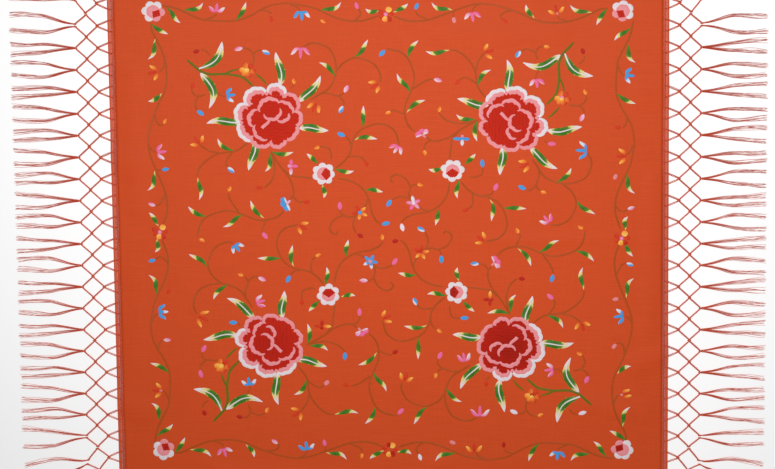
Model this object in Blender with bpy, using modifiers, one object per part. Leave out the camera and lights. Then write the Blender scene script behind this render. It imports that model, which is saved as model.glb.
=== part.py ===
"""Embroidered silk shawl, laid flat: one square panel, four rolled hems, four knotted fringes
and the twelve padded flowers that stand up from the cloth.

Metres, +Z up. The origin is the middle of the panel's underside, and z = 0 is the surface that
the shawl lies on. A side piece is worked out in the top side's frame, with t along the side, n
outward from the shawl's middle and z up, and is then turned clockwise to its own side.
"""

from collections import namedtuple
from math import cos, hypot, pi, radians, sin

import bmesh
import bpy
from mathutils import Matrix, Vector

# Cloth
SIDE = 1.300
WALL = 0.0012
SEAM = 0.0003
PANEL_CELLS = 30

# Rolled hem
HEM_WIDTH = 0.0050
HEM_HEIGHT = 0.0030
HEM_FACETS = 4

# Knotted fringe
STRIP_WIDTH = 0.0080
STRIP_HEIGHT = 0.0024
LOCKS_A_SIDE = 48
ROOT_HALF_WIDTH = 0.0024
KNOT_HALF_WIDTH = 0.0030
CLEAR_OF_FLOOR = 0.0004
FAN_ANGLE = radians(38)
FAN_STARTS = 0.50
FAN_RAMP = 0.090
FAN_CURVE = 1.5
LONE_KNOT_SHARE = 0.35
WAVE = 0.0050
WAVES_PER_METRE = 3.0
LOCK_PHASE = 1.7
SIDE_PHASE = 2.3

# Flowers, each at these distances from the shawl's middle lines, in its own quarter
ROSE_AT = (-0.2832, 0.2887)
MIDDLE_FLOWER_AT = (-0.1559, 0.1488)
CORNER_FLOWER_AT = (-0.5500, 0.5500)

# Silk: screen colours and roughness
SILK_COLOUR = (210, 81, 44)
HEM_COLOUR = (205, 72, 38)
FRINGE_COLOUR = (214, 84, 44)
CLOTH_ROUGHNESS = 0.50
THREAD_ROUGHNESS = 0.42
SCREEN_GAMMA = 2.2

PANEL_HALF = SIDE / 2 - HEM_WIDTH - SEAM
PITCH = SIDE / LOCKS_A_SIDE
SIDES = ("top", "right", "bottom", "left")

# Soft ridges of the cloth where it doesn't lie quite flat: a line from one point to the other,
# how high the ridge is at its middle, and how far it spreads on each side of its line
Ridge = namedtuple("Ridge", "x0 y0 x1 y1 height spread")
RIDGES = (
    Ridge(0.160, 0.490, 0.400, 0.497, 0.0024, 0.046),
    Ridge(-0.607, 0.400, -0.600, 0.060, 0.0026, 0.040),
    Ridge(-0.604, -0.100, -0.612, -0.330, 0.0018, 0.036),
    Ridge(0.215, -0.020, 0.560, -0.012, 0.0012, 0.030),
    Ridge(-0.420, -0.610, -0.120, -0.620, 0.0022, 0.038),
    Ridge(0.600, -0.455, 0.440, -0.430, 0.0026, 0.044),
    Ridge(0.622, 0.130, 0.610, -0.260, 0.0020, 0.036),
    Ridge(0.330, 0.660, 0.345, 0.590, 0.0032, 0.052),
    Ridge(-0.210, 0.660, -0.180, 0.600, 0.0026, 0.060),
    Ridge(-0.660, 0.190, -0.600, 0.170, 0.0030, 0.055),
    Ridge(-0.660, -0.430, -0.590, -0.450, 0.0034, 0.050),
    Ridge(0.660, 0.360, 0.600, 0.350, 0.0028, 0.060),
    Ridge(0.660, -0.300, 0.590, -0.330, 0.0036, 0.048),
    Ridge(0.090, -0.660, 0.110, -0.590, 0.0034, 0.056),
    Ridge(-0.470, -0.660, -0.440, -0.600, 0.0026, 0.062),
)

# Stations of one lock of fringe, from its root outward: how far it has come, the share of the
# sideways step to its neighbour (+1 and -1 are knots tied to the neighbours on either side), and
# half its width and height there
Station = namedtuple("Station", "reach step half_width half_height")
LOCK_STATIONS = (
    Station(0.024, 1.0, KNOT_HALF_WIDTH, 0.0014),
    Station(0.050, -1.0, KNOT_HALF_WIDTH, 0.0014),
    Station(0.076, 1.0, KNOT_HALF_WIDTH, 0.0014),
    Station(0.152, 0.0, 0.0042, 0.0011),
    Station(0.231, 0.0, 0.0036, 0.0007),
)

# Rings of a padded flower, from its underside up: share of its radius, height over the cloth
# and how deep its petals are scalloped, as a share of the radius
Ring = namedtuple("Ring", "share height scallop")
ROSE_RINGS = (
    Ring(1.00, 0.0000, 0.060),
    Ring(0.97, 0.0009, 0.060),
    Ring(0.72, 0.0012, 0.050),
    Ring(0.66, 0.0017, 0.070),
    Ring(0.30, 0.0021, 0.030),
)
SMALL_RINGS = (
    Ring(1.00, 0.0000, 0.110),
    Ring(0.94, 0.0008, 0.110),
    Ring(0.50, 0.0014, 0.050),
)

# Each kind of flower: where the one in the top left quarter is, its radius, petals and rings
Flower = namedtuple("Flower", "kind at radius petals rings colour")
FLOWERS = (
    Flower("rose", ROSE_AT, 0.0800, 9, ROSE_RINGS, (196, 42, 36)),
    Flower("middle_flower", MIDDLE_FLOWER_AT, 0.0270, 8, SMALL_RINGS, (238, 205, 208)),
    Flower("corner_flower", CORNER_FLOWER_AT, 0.0250, 8, SMALL_RINGS, (238, 190, 196)),
)
POINTS_A_PETAL = 3
HALF_BULGE = 0.5


def linear(colour):
    """The shader's linear colour for a screen colour given as 0 to 255."""
    return tuple((c / 255) ** SCREEN_GAMMA for c in colour) + (1.0,)


def finish(name, bm, colour, roughness, collection):
    """Close the mesh, give it its material and put it in the collection."""
    bmesh.ops.recalc_face_normals(bm, faces=bm.faces)
    mesh = bpy.data.meshes.new(name)
    bm.to_mesh(mesh)
    bm.free()
    mesh.shade_smooth()
    mesh.set_sharp_from_angle(angle=radians(50))
    piece = bpy.data.objects.new(name, mesh)
    collection.objects.link(piece)
    paint(piece, colour, roughness)
    return piece


def paint(piece, colour, roughness):
    """One plain silk material for the piece."""
    material = bpy.data.materials.new(piece.name)
    material.use_nodes = True
    shader = material.node_tree.nodes["Principled BSDF"]
    shader.inputs["Base Color"].default_value = linear(colour)
    shader.inputs["Roughness"].default_value = roughness
    shader.inputs["Metallic"].default_value = 0.0
    piece.data.materials.append(material)


def ridge_height(x, y):
    """How high the cloth's underside is above the surface at (x, y)."""
    height = 0.0
    for r in RIDGES:
        run_x, run_y = r.x1 - r.x0, r.y1 - r.y0
        share = ((x - r.x0) * run_x + (y - r.y0) * run_y) / (run_x**2 + run_y**2)
        share = min(1.0, max(0.0, share))
        off = hypot(x - r.x0 - share * run_x, y - r.y0 - share * run_y)
        if off < r.spread:
            height += r.height * cos(pi / 2 * off / r.spread) ** 2
    return height


def turned(quarter, t, n, z=0.0):
    """The world point of (t, n, z) on the side that is so many quarters clockwise of the top."""
    return Matrix.Rotation(-pi / 2 * quarter, 3, "Z") @ Vector((t, n, z))


def edge_height(quarter, t):
    """The ridge height at the cloth's edge, at t along the side."""
    edge = turned(quarter, t, SIDE / 2)
    return ridge_height(edge.x, edge.y)


def loft(bm, sections):
    """Skin the sections and cap both ends. Returns the faces, a list for each pair of sections."""
    rings = [[bm.verts.new(point) for point in section] for section in sections]
    count = len(rings[0])
    skin = [
        [bm.faces.new((a[i], a[(i + 1) % count], b[(i + 1) % count], b[i])) for i in range(count)]
        for a, b in zip(rings, rings[1:])
    ]
    bm.faces.new(reversed(rings[0]))
    bm.faces.new(rings[-1])
    return skin


def silk_panel(collection):
    """The square of silk: an open grid along its underside, thickened upward."""
    bpy.ops.mesh.primitive_grid_add(
        x_subdivisions=PANEL_CELLS, y_subdivisions=PANEL_CELLS, size=2 * PANEL_HALF
    )
    panel = bpy.context.object
    panel.name = panel.data.name = "silk_panel"
    for vertex in panel.data.vertices:
        vertex.co.z = ridge_height(vertex.co.x, vertex.co.y)
    panel.data.shade_smooth()
    wall = panel.modifiers.new("wall", "SOLIDIFY")
    wall.thickness = WALL
    wall.offset = 1.0
    for owner in panel.users_collection:
        owner.objects.unlink(panel)
    collection.objects.link(panel)
    paint(panel, SILK_COLOUR, CLOTH_ROUGHNESS)


def rolled_hem(quarter, collection):
    """One side's hem: a half-round roll on the floor, mitred into its neighbours at the corners."""
    inner = PANEL_HALF + SEAM
    profile = [
        (inner + HEM_WIDTH / 2 * (1 - cos(pi * i / HEM_FACETS)), HEM_HEIGHT * sin(pi * i / HEM_FACETS))
        for i in range(HEM_FACETS + 1)
    ]
    step = 2 * PANEL_HALF / PANEL_CELLS
    stations = [step * i - PANEL_HALF for i in range(PANEL_CELLS + 1)]
    mitre_gap = SEAM / 2 * 2**0.5
    sections = []
    for i, t in enumerate(stations):
        rise = edge_height(quarter, t)
        last = i in (0, PANEL_CELLS)
        sign = 1 if t > 0 else -1
        sections.append(
            [
                turned(quarter, sign * (n - mitre_gap) if last else t, n, rise + z)
                for n, z in profile
            ]
        )
    bm = bmesh.new()
    loft(bm, sections)
    finish(f"hem_{SIDES[quarter]}", bm, HEM_COLOUR, CLOTH_ROUGHNESS, collection)


def lock_rings(quarter, index, root_t):
    """Where one lock of fringe runs: centre, direction across it and half sizes at each station."""
    toward = 1 if index % 2 == 0 else -1
    fan = max(0.0, (abs(root_t) - FAN_STARTS) / (SIDE / 2 - FAN_STARTS)) ** FAN_CURVE
    fan *= FAN_ANGLE * (1 if root_t > 0 else -1)
    meeting = PITCH / 2 - KNOT_HALF_WIDTH - SEAM / 2
    phase = LOCK_PHASE * index + SIDE_PHASE * quarter
    for s in LOCK_STATIONS:
        sideways = s.step * toward * meeting
        alone = (index == 0 and sideways < 0) or (index == LOCKS_A_SIDE - 1 and sideways > 0)
        if alone:
            sideways *= LONE_KNOT_SHARE
        if s.step == 0.0:
            sideways = WAVE * sin(phase + 2 * pi * WAVES_PER_METRE * s.reach)
        angle = fan * min(1.0, s.reach / FAN_RAMP)
        t = root_t + s.reach * sin(angle) + sideways * cos(angle)
        n = SIDE / 2 + SEAM + STRIP_WIDTH + s.reach * cos(angle) - sideways * sin(angle)
        drop = max(0.0, 1 - s.reach / FAN_RAMP)
        z = CLEAR_OF_FLOOR + s.half_height + edge_height(quarter, root_t) * drop
        yield turned(quarter, t, n, z), turned(quarter, cos(angle), -sin(angle)), s


def fringe(quarter, collection):
    """One side's fringe: a narrow strip beside the hem, with locks of silk grown from its face."""
    inner = SIDE / 2 + SEAM
    outer = inner + STRIP_WIDTH
    roots = [PITCH * (i + 0.5) - SIDE / 2 for i in range(LOCKS_A_SIDE)]
    stations = [-SIDE / 2]
    for t in roots:
        stations += [t - ROOT_HALF_WIDTH, t + ROOT_HALF_WIDTH]
    stations.append(SIDE / 2)
    sections = []
    for t in stations:
        low = edge_height(quarter, t)
        high = low + STRIP_HEIGHT
        corners = ((inner, low), (outer, low), (outer, high), (inner, high))
        sections.append([turned(quarter, t, n, z) for n, z in corners])
    bm = bmesh.new()
    skin = loft(bm, sections)
    bm.normal_update()
    for index, t in enumerate(roots):
        face = skin[2 * index + 1][1]
        for centre, across, s in lock_rings(quarter, index, t):
            middle = face.calc_center_median()
            face = bmesh.ops.extrude_discrete_faces(bm, faces=[face])["faces"][0]
            for vertex in face.verts:
                offset = vertex.co - middle
                side = 1 if offset.dot(across) > 0 else -1
                up = 1 if offset.z > 0 else -1
                vertex.co = centre + across * (side * s.half_width)
                vertex.co.z += up * s.half_height
    finish(f"fringe_{SIDES[quarter]}", bm, FRINGE_COLOUR, THREAD_ROUGHNESS, collection)


def padded_flower(flower, quarter, collection):
    """A low scalloped dome of satin stitch, just over the cloth."""
    middle = turned(quarter, *flower.at, WALL + SEAM)
    count = flower.petals * POINTS_A_PETAL
    sections = []
    for ring in flower.rings:
        section = []
        for i in range(count):
            angle = 2 * pi * i / count
            bulge = abs(sin(flower.petals * angle / 2))
            radius = flower.radius * (ring.share + ring.scallop * (bulge - HALF_BULGE))
            section.append(middle + Vector((radius * cos(angle), radius * sin(angle), ring.height)))
        sections.append(section)
    bm = bmesh.new()
    loft(bm, sections)
    finish(f"{flower.kind}_{quarter + 1}", bm, flower.colour, THREAD_ROUGHNESS, collection)


def main():
    for thing in list(bpy.data.objects):
        bpy.data.objects.remove(thing, do_unlink=True)
    collection = bpy.data.collections.new("manila_shawl")
    bpy.context.scene.collection.children.link(collection)
    silk_panel(collection)
    for quarter in range(4):
        rolled_hem(quarter, collection)
        fringe(quarter, collection)
        for flower in FLOWERS:
            padded_flower(flower, quarter, collection)


main()
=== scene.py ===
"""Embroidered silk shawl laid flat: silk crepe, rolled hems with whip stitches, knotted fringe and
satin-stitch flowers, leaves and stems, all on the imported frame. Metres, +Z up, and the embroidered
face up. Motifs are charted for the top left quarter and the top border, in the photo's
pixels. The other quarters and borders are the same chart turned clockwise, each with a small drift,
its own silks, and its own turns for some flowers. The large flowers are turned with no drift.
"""

from collections import namedtuple
from math import atan2, cos, hypot, pi, radians, sin

import bpy
import numpy as np
from mathutils import Matrix, Vector


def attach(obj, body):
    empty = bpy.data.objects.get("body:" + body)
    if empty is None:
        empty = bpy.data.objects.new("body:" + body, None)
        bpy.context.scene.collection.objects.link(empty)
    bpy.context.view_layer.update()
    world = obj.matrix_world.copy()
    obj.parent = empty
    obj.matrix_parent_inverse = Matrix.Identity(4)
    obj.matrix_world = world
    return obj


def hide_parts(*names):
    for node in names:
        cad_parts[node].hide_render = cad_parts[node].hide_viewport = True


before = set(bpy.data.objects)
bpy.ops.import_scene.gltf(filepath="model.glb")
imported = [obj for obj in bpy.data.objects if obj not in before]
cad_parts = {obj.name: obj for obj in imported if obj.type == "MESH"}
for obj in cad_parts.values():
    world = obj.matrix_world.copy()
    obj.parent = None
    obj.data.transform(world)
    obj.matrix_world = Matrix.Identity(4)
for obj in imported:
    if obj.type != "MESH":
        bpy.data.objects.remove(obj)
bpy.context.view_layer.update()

# Sizes shared with the solids
SIDE = 1.300
WALL = 0.0012
SEAM = 0.0003
HEM_WIDTH = 0.0050
HEM_HEIGHT = 0.0030
STRIP_WIDTH = 0.0080
STRIP_HEIGHT = 0.0024
LOCKS_A_SIDE = 48
CLEAR_OF_FLOOR = 0.0004
FAN_ANGLE = radians(38)
FAN_STARTS = 0.50
FAN_RAMP = 0.090
FAN_CURVE = 1.5
WAVE = 0.0050
WAVES_PER_METRE = 3.0
LOCK_PHASE = 1.7
SIDE_PHASE = 2.3
PANEL_HALF = SIDE / 2 - HEM_WIDTH - SEAM
PITCH = SIDE / LOCKS_A_SIDE
SIDES = ("top", "right", "bottom", "left")
ROSE_AT = (-0.2832, 0.2887)
MIDDLE_FLOWER_AT = (-0.1559, 0.1488)
CORNER_FLOWER_AT = (-0.5500, 0.5500)

# Soft ridges where the cloth isn't flat, as in the solids: the two ends of each, its height and how
# far it spreads to each side
Ridge = namedtuple("Ridge", "x0 y0 x1 y1 height spread")
RIDGES = (
    Ridge(0.160, 0.490, 0.400, 0.497, 0.0024, 0.046),
    Ridge(-0.607, 0.400, -0.600, 0.060, 0.0026, 0.040),
    Ridge(-0.604, -0.100, -0.612, -0.330, 0.0018, 0.036),
    Ridge(0.215, -0.020, 0.560, -0.012, 0.0012, 0.030),
    Ridge(-0.420, -0.610, -0.120, -0.620, 0.0022, 0.038),
    Ridge(0.600, -0.455, 0.440, -0.430, 0.0026, 0.044),
    Ridge(0.622, 0.130, 0.610, -0.260, 0.0020, 0.036),
    Ridge(0.330, 0.660, 0.345, 0.590, 0.0032, 0.052),
    Ridge(-0.210, 0.660, -0.180, 0.600, 0.0026, 0.060),
    Ridge(-0.660, 0.190, -0.600, 0.170, 0.0030, 0.055),
    Ridge(-0.660, -0.430, -0.590, -0.450, 0.0034, 0.050),
    Ridge(0.660, 0.360, 0.600, 0.350, 0.0028, 0.060),
    Ridge(0.660, -0.300, 0.590, -0.330, 0.0036, 0.048),
    Ridge(0.090, -0.660, 0.110, -0.590, 0.0034, 0.056),
    Ridge(-0.470, -0.660, -0.440, -0.600, 0.0026, 0.062),
)

# Fine creases of the scene alone: storage folds and small slack waves
CREASES = (
    Ridge(0.190, -0.019, 0.640, -0.017, 0.0007, 0.013),
    Ridge(-0.640, -0.016, -0.330, -0.018, 0.0004, 0.014),
    Ridge(0.002, 0.640, 0.003, 0.300, 0.0004, 0.014),
    Ridge(0.001, -0.300, -0.002, -0.640, 0.0005, 0.014),
)

# Camera, solved so that the flower centres fall where the photo has them
IMAGE_WIDTH = 775
IMAGE_HEIGHT = 469
SENSOR_MM = 36.0
TILT = radians(19.293)
YAW = radians(1.810)
ROLL = radians(-0.666)
TARGET = Vector((-0.0068, -0.0041, 0.0))
DISTANCE = 15.0
METRES_A_PIXEL = 0.00236896
FOCAL_PIXELS = DISTANCE / METRES_A_PIXEL


def camera_frame():
    """The camera's place and its right, up and forward directions."""
    toward = Vector((sin(YAW), sin(TILT) * cos(YAW), cos(TILT) * cos(YAW))).normalized()
    forward = -toward
    level = forward.cross(Vector((0, 1, 0))).normalized()
    upright = level.cross(forward)
    right = level * cos(ROLL) + upright * sin(ROLL)
    up = upright * cos(ROLL) - level * sin(ROLL)
    return TARGET + toward * DISTANCE, right, up, forward


EYE, EYE_RIGHT, EYE_UP, EYE_FORWARD = camera_frame()


def make_camera():
    data = bpy.data.cameras.new("camera")
    data.sensor_width = SENSOR_MM
    data.lens = FOCAL_PIXELS * SENSOR_MM / IMAGE_WIDTH
    data.clip_end = 200.0
    camera = bpy.data.objects.new("camera", data)
    bpy.context.scene.collection.objects.link(camera)
    turn = Matrix((EYE_RIGHT, EYE_UP, -EYE_FORWARD)).transposed().to_4x4()
    camera.matrix_world = Matrix.Translation(EYE) @ turn
    bpy.context.scene.camera = camera


def from_photo(px, py):
    """The point of the cloth, as (x, y), that the photo shows at a pixel."""
    ray = EYE_FORWARD * FOCAL_PIXELS
    ray = ray + EYE_RIGHT * (px - IMAGE_WIDTH / 2) + EYE_UP * (IMAGE_HEIGHT / 2 - py)
    point = EYE + ray * ((WALL - EYE.z) / ray.z)
    return np.array((point.x, point.y))


def pairs(a, b):
    """Two values of each point side by side. They may be a column and a row of a table."""
    return np.stack(np.broadcast_arrays(a, b), axis=-1)


def polar(radius, angle):
    """Points (x, y) at a distance and an angle."""
    return pairs(radius * np.cos(angle), radius * np.sin(angle))


TINY = 1e-9


def unit(vectors):
    """The directions of vectors, each of length 1."""
    return vectors / np.maximum(np.linalg.norm(vectors, axis=-1, keepdims=True), TINY)


def turned(points, quarter):
    """Points (x, y) turned clockwise by so many quarters about the shawl's middle."""
    points = np.asarray(points, float)
    for _ in range(quarter):
        points = pairs(points[..., 1], -points[..., 0])
    return points


def at_height(points, z):
    """Points (x, y, z) from points (x, y) and their heights."""
    return np.concatenate((points, np.broadcast_to(z, points.shape[:-1])[..., None]), axis=-1)


# The cloth's surface, at points (x, y)
def ridges_at(rows, points):
    x, y = points[..., 0], points[..., 1]
    height = np.zeros(x.shape)
    for r in rows:
        run_x, run_y = r.x1 - r.x0, r.y1 - r.y0
        share = ((x - r.x0) * run_x + (y - r.y0) * run_y) / (run_x**2 + run_y**2)
        share = np.clip(share, 0.0, 1.0)
        off = np.hypot(x - r.x0 - share * run_x, y - r.y0 - share * run_y)
        height += r.height * np.cos(pi / 2 * np.clip(off / r.spread, 0, 1)) ** 2
    return height


def underside(points):
    """Height of the cloth's underside over the floor."""
    return ridges_at(RIDGES, points) + ridges_at(CREASES, points)


def cloth_top(points):
    return underside(points) + WALL


def edge_height(quarter, t):
    """Height of the cloth's underside at its edge, at t along the side."""
    return ridges_at(RIDGES, turned(pairs(t, SIDE / 2), quarter))


# Needlework: meshes with two UV maps, shape (along and across a motif, for its colours) and
# thread (metres across and along the threads, for the stitches)
SHARP_EDGE = radians(60)


class Needlework:
    """Collects the faces of one piece, then makes its mesh."""

    def __init__(self, name, silks):
        self.name, self.silks = name, silks
        self.points, self.shape, self.thread = [], [], []
        self.faces, self.face_silks = [], []
        self.count = 0

    def add(self, points, shape, thread, faces, silk=0):
        self.points.append(np.reshape(points, (-1, 3)))
        self.shape.append(np.reshape(shape, (-1, 2)))
        self.thread.append(np.reshape(thread, (-1, 2)))
        start = self.count
        self.faces += [tuple(start + i for i in face) for face in faces]
        self.face_silks += [silk] * len(faces)
        self.count += len(self.points[-1])

    def finish(self, slot, replaces=()):
        mesh = bpy.data.meshes.new(self.name)
        mesh.from_pydata(np.concatenate(self.points).tolist(), [], self.faces)
        corners = np.zeros(len(mesh.loops), dtype=np.int32)
        mesh.loops.foreach_get("vertex_index", corners)
        for map_name, values in (("shape", self.shape), ("thread", self.thread)):
            layer = mesh.uv_layers.new(name=map_name)
            layer.data.foreach_set("uv", np.concatenate(values)[corners].ravel())
        for silk in self.silks:
            mesh.materials.append(silk)
        mesh.polygons.foreach_set("material_index", self.face_silks)
        mesh.shade_smooth()
        mesh.set_sharp_from_angle(angle=SHARP_EDGE)
        piece = bpy.data.objects.new(self.name, mesh)
        bpy.context.scene.collection.objects.link(piece)
        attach(piece, "root")
        if replaces:
            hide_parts(*replaces)
        return piece


def grid_faces(rows, columns):
    """Faces of a strip of rows by columns, with a flat face under each pair of rows and at its ends."""
    faces = []
    for a in range(0, (rows - 1) * columns, columns):
        b = a + columns
        faces += [(a + j, b + j, b + j + 1, a + j + 1) for j in range(columns - 1)]
        faces.append((a, b - 1, b + columns - 1, b))
    faces.append(tuple(range(columns)))
    faces.append(tuple(reversed(range((rows - 1) * columns, rows * columns))))
    return faces


def ring_faces(rings, count, inward=False):
    """Faces between closed rings of so many points, and a cap on the first ring and on the last.
    inward says that each ring lies inside the one before it."""
    faces = []
    for a in range(0, (rings - 1) * count, count):
        for j in range(count):
            k = (j + 1) % count
            first, last = (a + k, a + count + j) if inward else (a + count + j, a + k)
            faces.append((a + j, first, a + count + k, last))
    order = -1 if inward else 1
    faces.append(tuple(range(count)[::order]))
    faces.append(tuple(range((rings - 1) * count, rings * count)[::-order]))
    return faces


def arc_length(path):
    """The length of a path up to each of its points."""
    steps = np.linalg.norm(np.diff(path, axis=0), axis=1)
    return np.concatenate(([0.0], np.cumsum(steps)))


def left_of(spine):
    """Unit directions to the left of the path at each of its points."""
    run = unit(np.gradient(spine, axis=0))
    return pairs(-run[:, 1], run[:, 0])


# The edges of a stitch lie this far over the cloth. Over the skirt's lift, they get sides too
BASE_LIFT = 0.0001
SKIRT_LIFT = 0.0004
SLANT = 0.7
THINNEST = 0.00008
DOME_POWER = 0.7
STRIP_COLUMNS = 5


def stitch(work, spine, left, right, crown, tone=(0.0, 1.0), lay="across", lift=BASE_LIFT,
           across=STRIP_COLUMNS, silk=0, sideways=None):
    """A low padded strip of satin stitch along a path, left and right being its half widths.

    tone is the share of the silk's colours at its start and end, or a table of them. lay is the way
    its threads run. sideways holds its directions to the left, where they aren't those of the path."""
    v = np.linspace(-1.0, 1.0, across)
    raised = np.max(lift) > SKIRT_LIFT
    if raised:
        # Both sides of a raised strip go down to the cloth
        v = np.concatenate((v[:1], v, v[-1:]))
        if not isinstance(tone, tuple):
            tone = np.concatenate((tone[:, :1], tone, tone[:, -1:]), axis=1)
    left, right = (np.maximum(np.broadcast_to(half, len(spine)), THINNEST) for half in (left, right))
    reach = np.where(v > 0, left[:, None], right[:, None]) * v
    sideways = left_of(spine) if sideways is None else sideways
    points = spine[:, None, :] + sideways[:, None, :] * reach[:, :, None]
    width = left + right
    dome = (1 - v**2) ** DOME_POWER * np.sqrt(width / width.max())[:, None]
    rise = cloth_top(points) + lift + crown * dome
    if raised:
        for side in (0, -1):
            rise[:, side] = cloth_top(points[:, side]) + BASE_LIFT
    s = arc_length(spine)[:, None]
    if isinstance(tone, tuple):
        tone = tone[0] + (tone[1] - tone[0]) * s / max(s[-1, 0], THINNEST)
    leans = {"across": 0.0, "slant": SLANT * np.abs(reach), "rope": SLANT * reach}
    thread = pairs(reach, s) if lay == "along" else pairs(s - leans[lay], reach)
    work.add(at_height(points, rise), pairs(tone, (v + 1) / 2), thread, grid_faces(*reach.shape), silk)


# A patch's rings as shares of its reach, the power of its dome, and where its threads' spacing is true
PATCH_RINGS = (1.0, 0.95, 0.84, 0.66, 0.44, 0.20)
PATCH_DOME_POWER = 2.6
PATCH_TRUE_AT = 0.8


def round_patch(work, middle, radii, crown, lift=BASE_LIFT, tone=(0.0, 1.0), turn=0.0, silk=0,
                rows=False):
    """A padded patch round a middle point: radii are its edge's distances, evenly spaced in angle
    from turn. Its threads run outward, or in level rows turned with the patch."""
    angles = turn + np.linspace(0, 2 * pi, len(radii), endpoint=False)
    raised = lift > SKIRT_LIFT
    shares = np.array(PATCH_RINGS[:1] * raised + PATCH_RINGS)[:, None]
    reach = shares * radii
    points = middle + polar(reach, angles)
    rise = cloth_top(points) + lift + crown * (1 - shares**PATCH_DOME_POWER) ** 0.5
    if raised:
        rise[0] += BASE_LIFT - lift
    shape = pairs(tone[1] + (tone[0] - tone[1]) * shares, angles / (2 * pi))
    if rows:
        thread = polar(reach, angles - turn)
    else:
        thread = pairs(angles * radii.mean() * PATCH_TRUE_AT, reach)
    work.add(at_height(points, rise), shape, thread, ring_faces(*reach.shape, inward=True), silk)


def bent_path(base, tip, count, sag=0.0, curl=0.0):
    """A path from base to tip that bows to its left by sag and curves back by curl, as shares of
    its length."""
    run = tip - base
    left = np.array((-run[1], run[0]))
    u = np.linspace(0, 1, count)[:, None]
    return base + run * u + left * (sag * np.sin(pi * u) + curl * np.sin(2 * pi * u))


CURVE_STEPS = 8


def smooth_path(knots, step):
    """A Catmull-Rom curve through the knots, sampled evenly."""
    knots = np.asarray(knots, float)
    first, last = 2 * knots[0] - knots[1], 2 * knots[-1] - knots[-2]
    padded = np.concatenate(([first], knots, [last]))
    u = np.linspace(0, 1, CURVE_STEPS, endpoint=False)[:, None]
    pieces = []
    for a, b, c, d in zip(padded, padded[1:], padded[2:], padded[3:]):
        square, cube = 2 * a - 5 * b + 4 * c - d, 3 * b - a - 3 * c + d
        pieces.append((2 * b + (c - a) * u + square * u**2 + cube * u**3) / 2)
    fine = np.concatenate(pieces + [knots[-1:]])
    s = arc_length(fine)
    even = np.linspace(0, s[-1], max(4, int(s[-1] / step) + 1))
    return pairs(np.interp(even, s, fine[:, 0]), np.interp(even, s, fine[:, 1]))


def scatter(seed, count):
    """Repeatable numbers from -1 to 1, from a fixed seed."""
    return np.random.default_rng(seed).uniform(-1.0, 1.0, count)


# Materials
def linear(colour):
    """The shader's linear colour for a screen colour given as 0 to 255."""
    values = []
    for c in colour:
        c = c / 255
        values.append(c / 12.92 if c <= 0.04045 else ((c + 0.055) / 1.055) ** 2.4)
    return tuple(values) + (1.0,)


def stops(*rows):
    return [(place, linear(colour)) for place, colour in rows]


# The colour sockets of a Mix node, and the metres from band to band of a Wave texture at scale 1
MIX_A, MIX_B, MIX_RESULT = 6, 7, 2
BAND_PERIOD = 2 * pi / 20
SHEEN_ROUGHNESS = 0.4


class Graph:
    """A material's node tree, with a short call for each kind of node used here."""

    def __init__(self, name):
        self.material = bpy.data.materials.new(name)
        self.material.use_nodes = True
        self.tree = self.material.node_tree
        self.tree.nodes.clear()
        self.shader = self.node("BsdfPrincipled")
        self.node("OutputMaterial", {"Surface": self.shader.outputs["BSDF"]})

    def node(self, kind, inputs=(), **settings):
        made = self.tree.nodes.new("ShaderNode" + kind)
        for key, value in settings.items():
            setattr(made, key, value)
        self.fill(made, inputs)
        return made

    def fill(self, node, inputs):
        """Gives a node's inputs their values, or the sockets that they are linked to."""
        for name, value in dict(inputs).items():
            if isinstance(value, bpy.types.NodeSocket):
                self.tree.links.new(value, node.inputs[name])
            else:
                node.inputs[name].default_value = value

    def uv(self, name):
        return self.node("UVMap", uv_map=name).outputs["UV"]

    def place(self):
        return self.node("TexCoord").outputs["Object"]

    def noise(self, vector, scale, detail=2.0):
        """Noise of so many features a metre, or of so many along each axis."""
        if isinstance(scale, tuple):
            vector = self.node("Mapping", {"Vector": vector, "Scale": scale}).outputs["Vector"]
            scale = 1.0
        inputs = {"Vector": vector, "Scale": scale, "Detail": detail}
        return self.node("TexNoise", inputs).outputs["Fac"]

    def wave(self, vector, period, direction, distortion):
        inputs = {"Vector": vector, "Scale": BAND_PERIOD / period, "Distortion": distortion, "Detail": 1.0}
        made = self.node("TexWave", inputs, wave_type="BANDS", bands_direction=direction)
        return made.outputs["Fac"]

    def math(self, operation, a, b, clamp=False):
        return self.node("Math", {0: a, 1: b}, operation=operation, use_clamp=clamp).outputs[0]

    def split(self, vector):
        return self.node("SeparateXYZ", {0: vector}).outputs

    def ramp(self, factor, colours):
        made = self.node("ValToRGB", {"Fac": factor})
        elements = made.color_ramp.elements
        while len(elements) < len(colours):
            elements.new(0.5)
        for element, (place, colour) in zip(elements, colours):
            element.position = place
            element.color = colour
        return made.outputs["Color"]

    def multiply(self, colour, by):
        inputs = {"Factor": 1.0, MIX_A: colour, MIX_B: by}
        made = self.node("Mix", inputs, data_type="RGBA", blend_type="MULTIPLY")
        return made.outputs[MIX_RESULT]

    def grey(self, value, low, high):
        """A grey colour from low to high as the value goes from 0 to 1."""
        return self.ramp(value, [(0.0, (low,) * 3 + (1,)), (1.0, (high,) * 3 + (1,))])

    def shade(self, colour, value, low, high):
        """A colour times low to high as the value goes from 0 to 1."""
        return self.multiply(colour, self.grey(value, low, high))

    def bump(self, height, distance, strength, normal=None):
        inputs = {"Height": height, "Distance": distance, "Strength": strength}
        if normal is not None:
            inputs["Normal"] = normal
        return self.node("Bump", inputs).outputs["Normal"]

    def finish(self, colour, roughness, normal, specular, sheen=0.0):
        self.fill(self.shader, {"Base Color": colour, "Roughness": roughness, "Normal": normal,
                                "Specular IOR Level": specular, "Sheen Weight": sheen,
                                "Sheen Roughness": SHEEN_ROUGHNESS})
        return self.material


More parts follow.
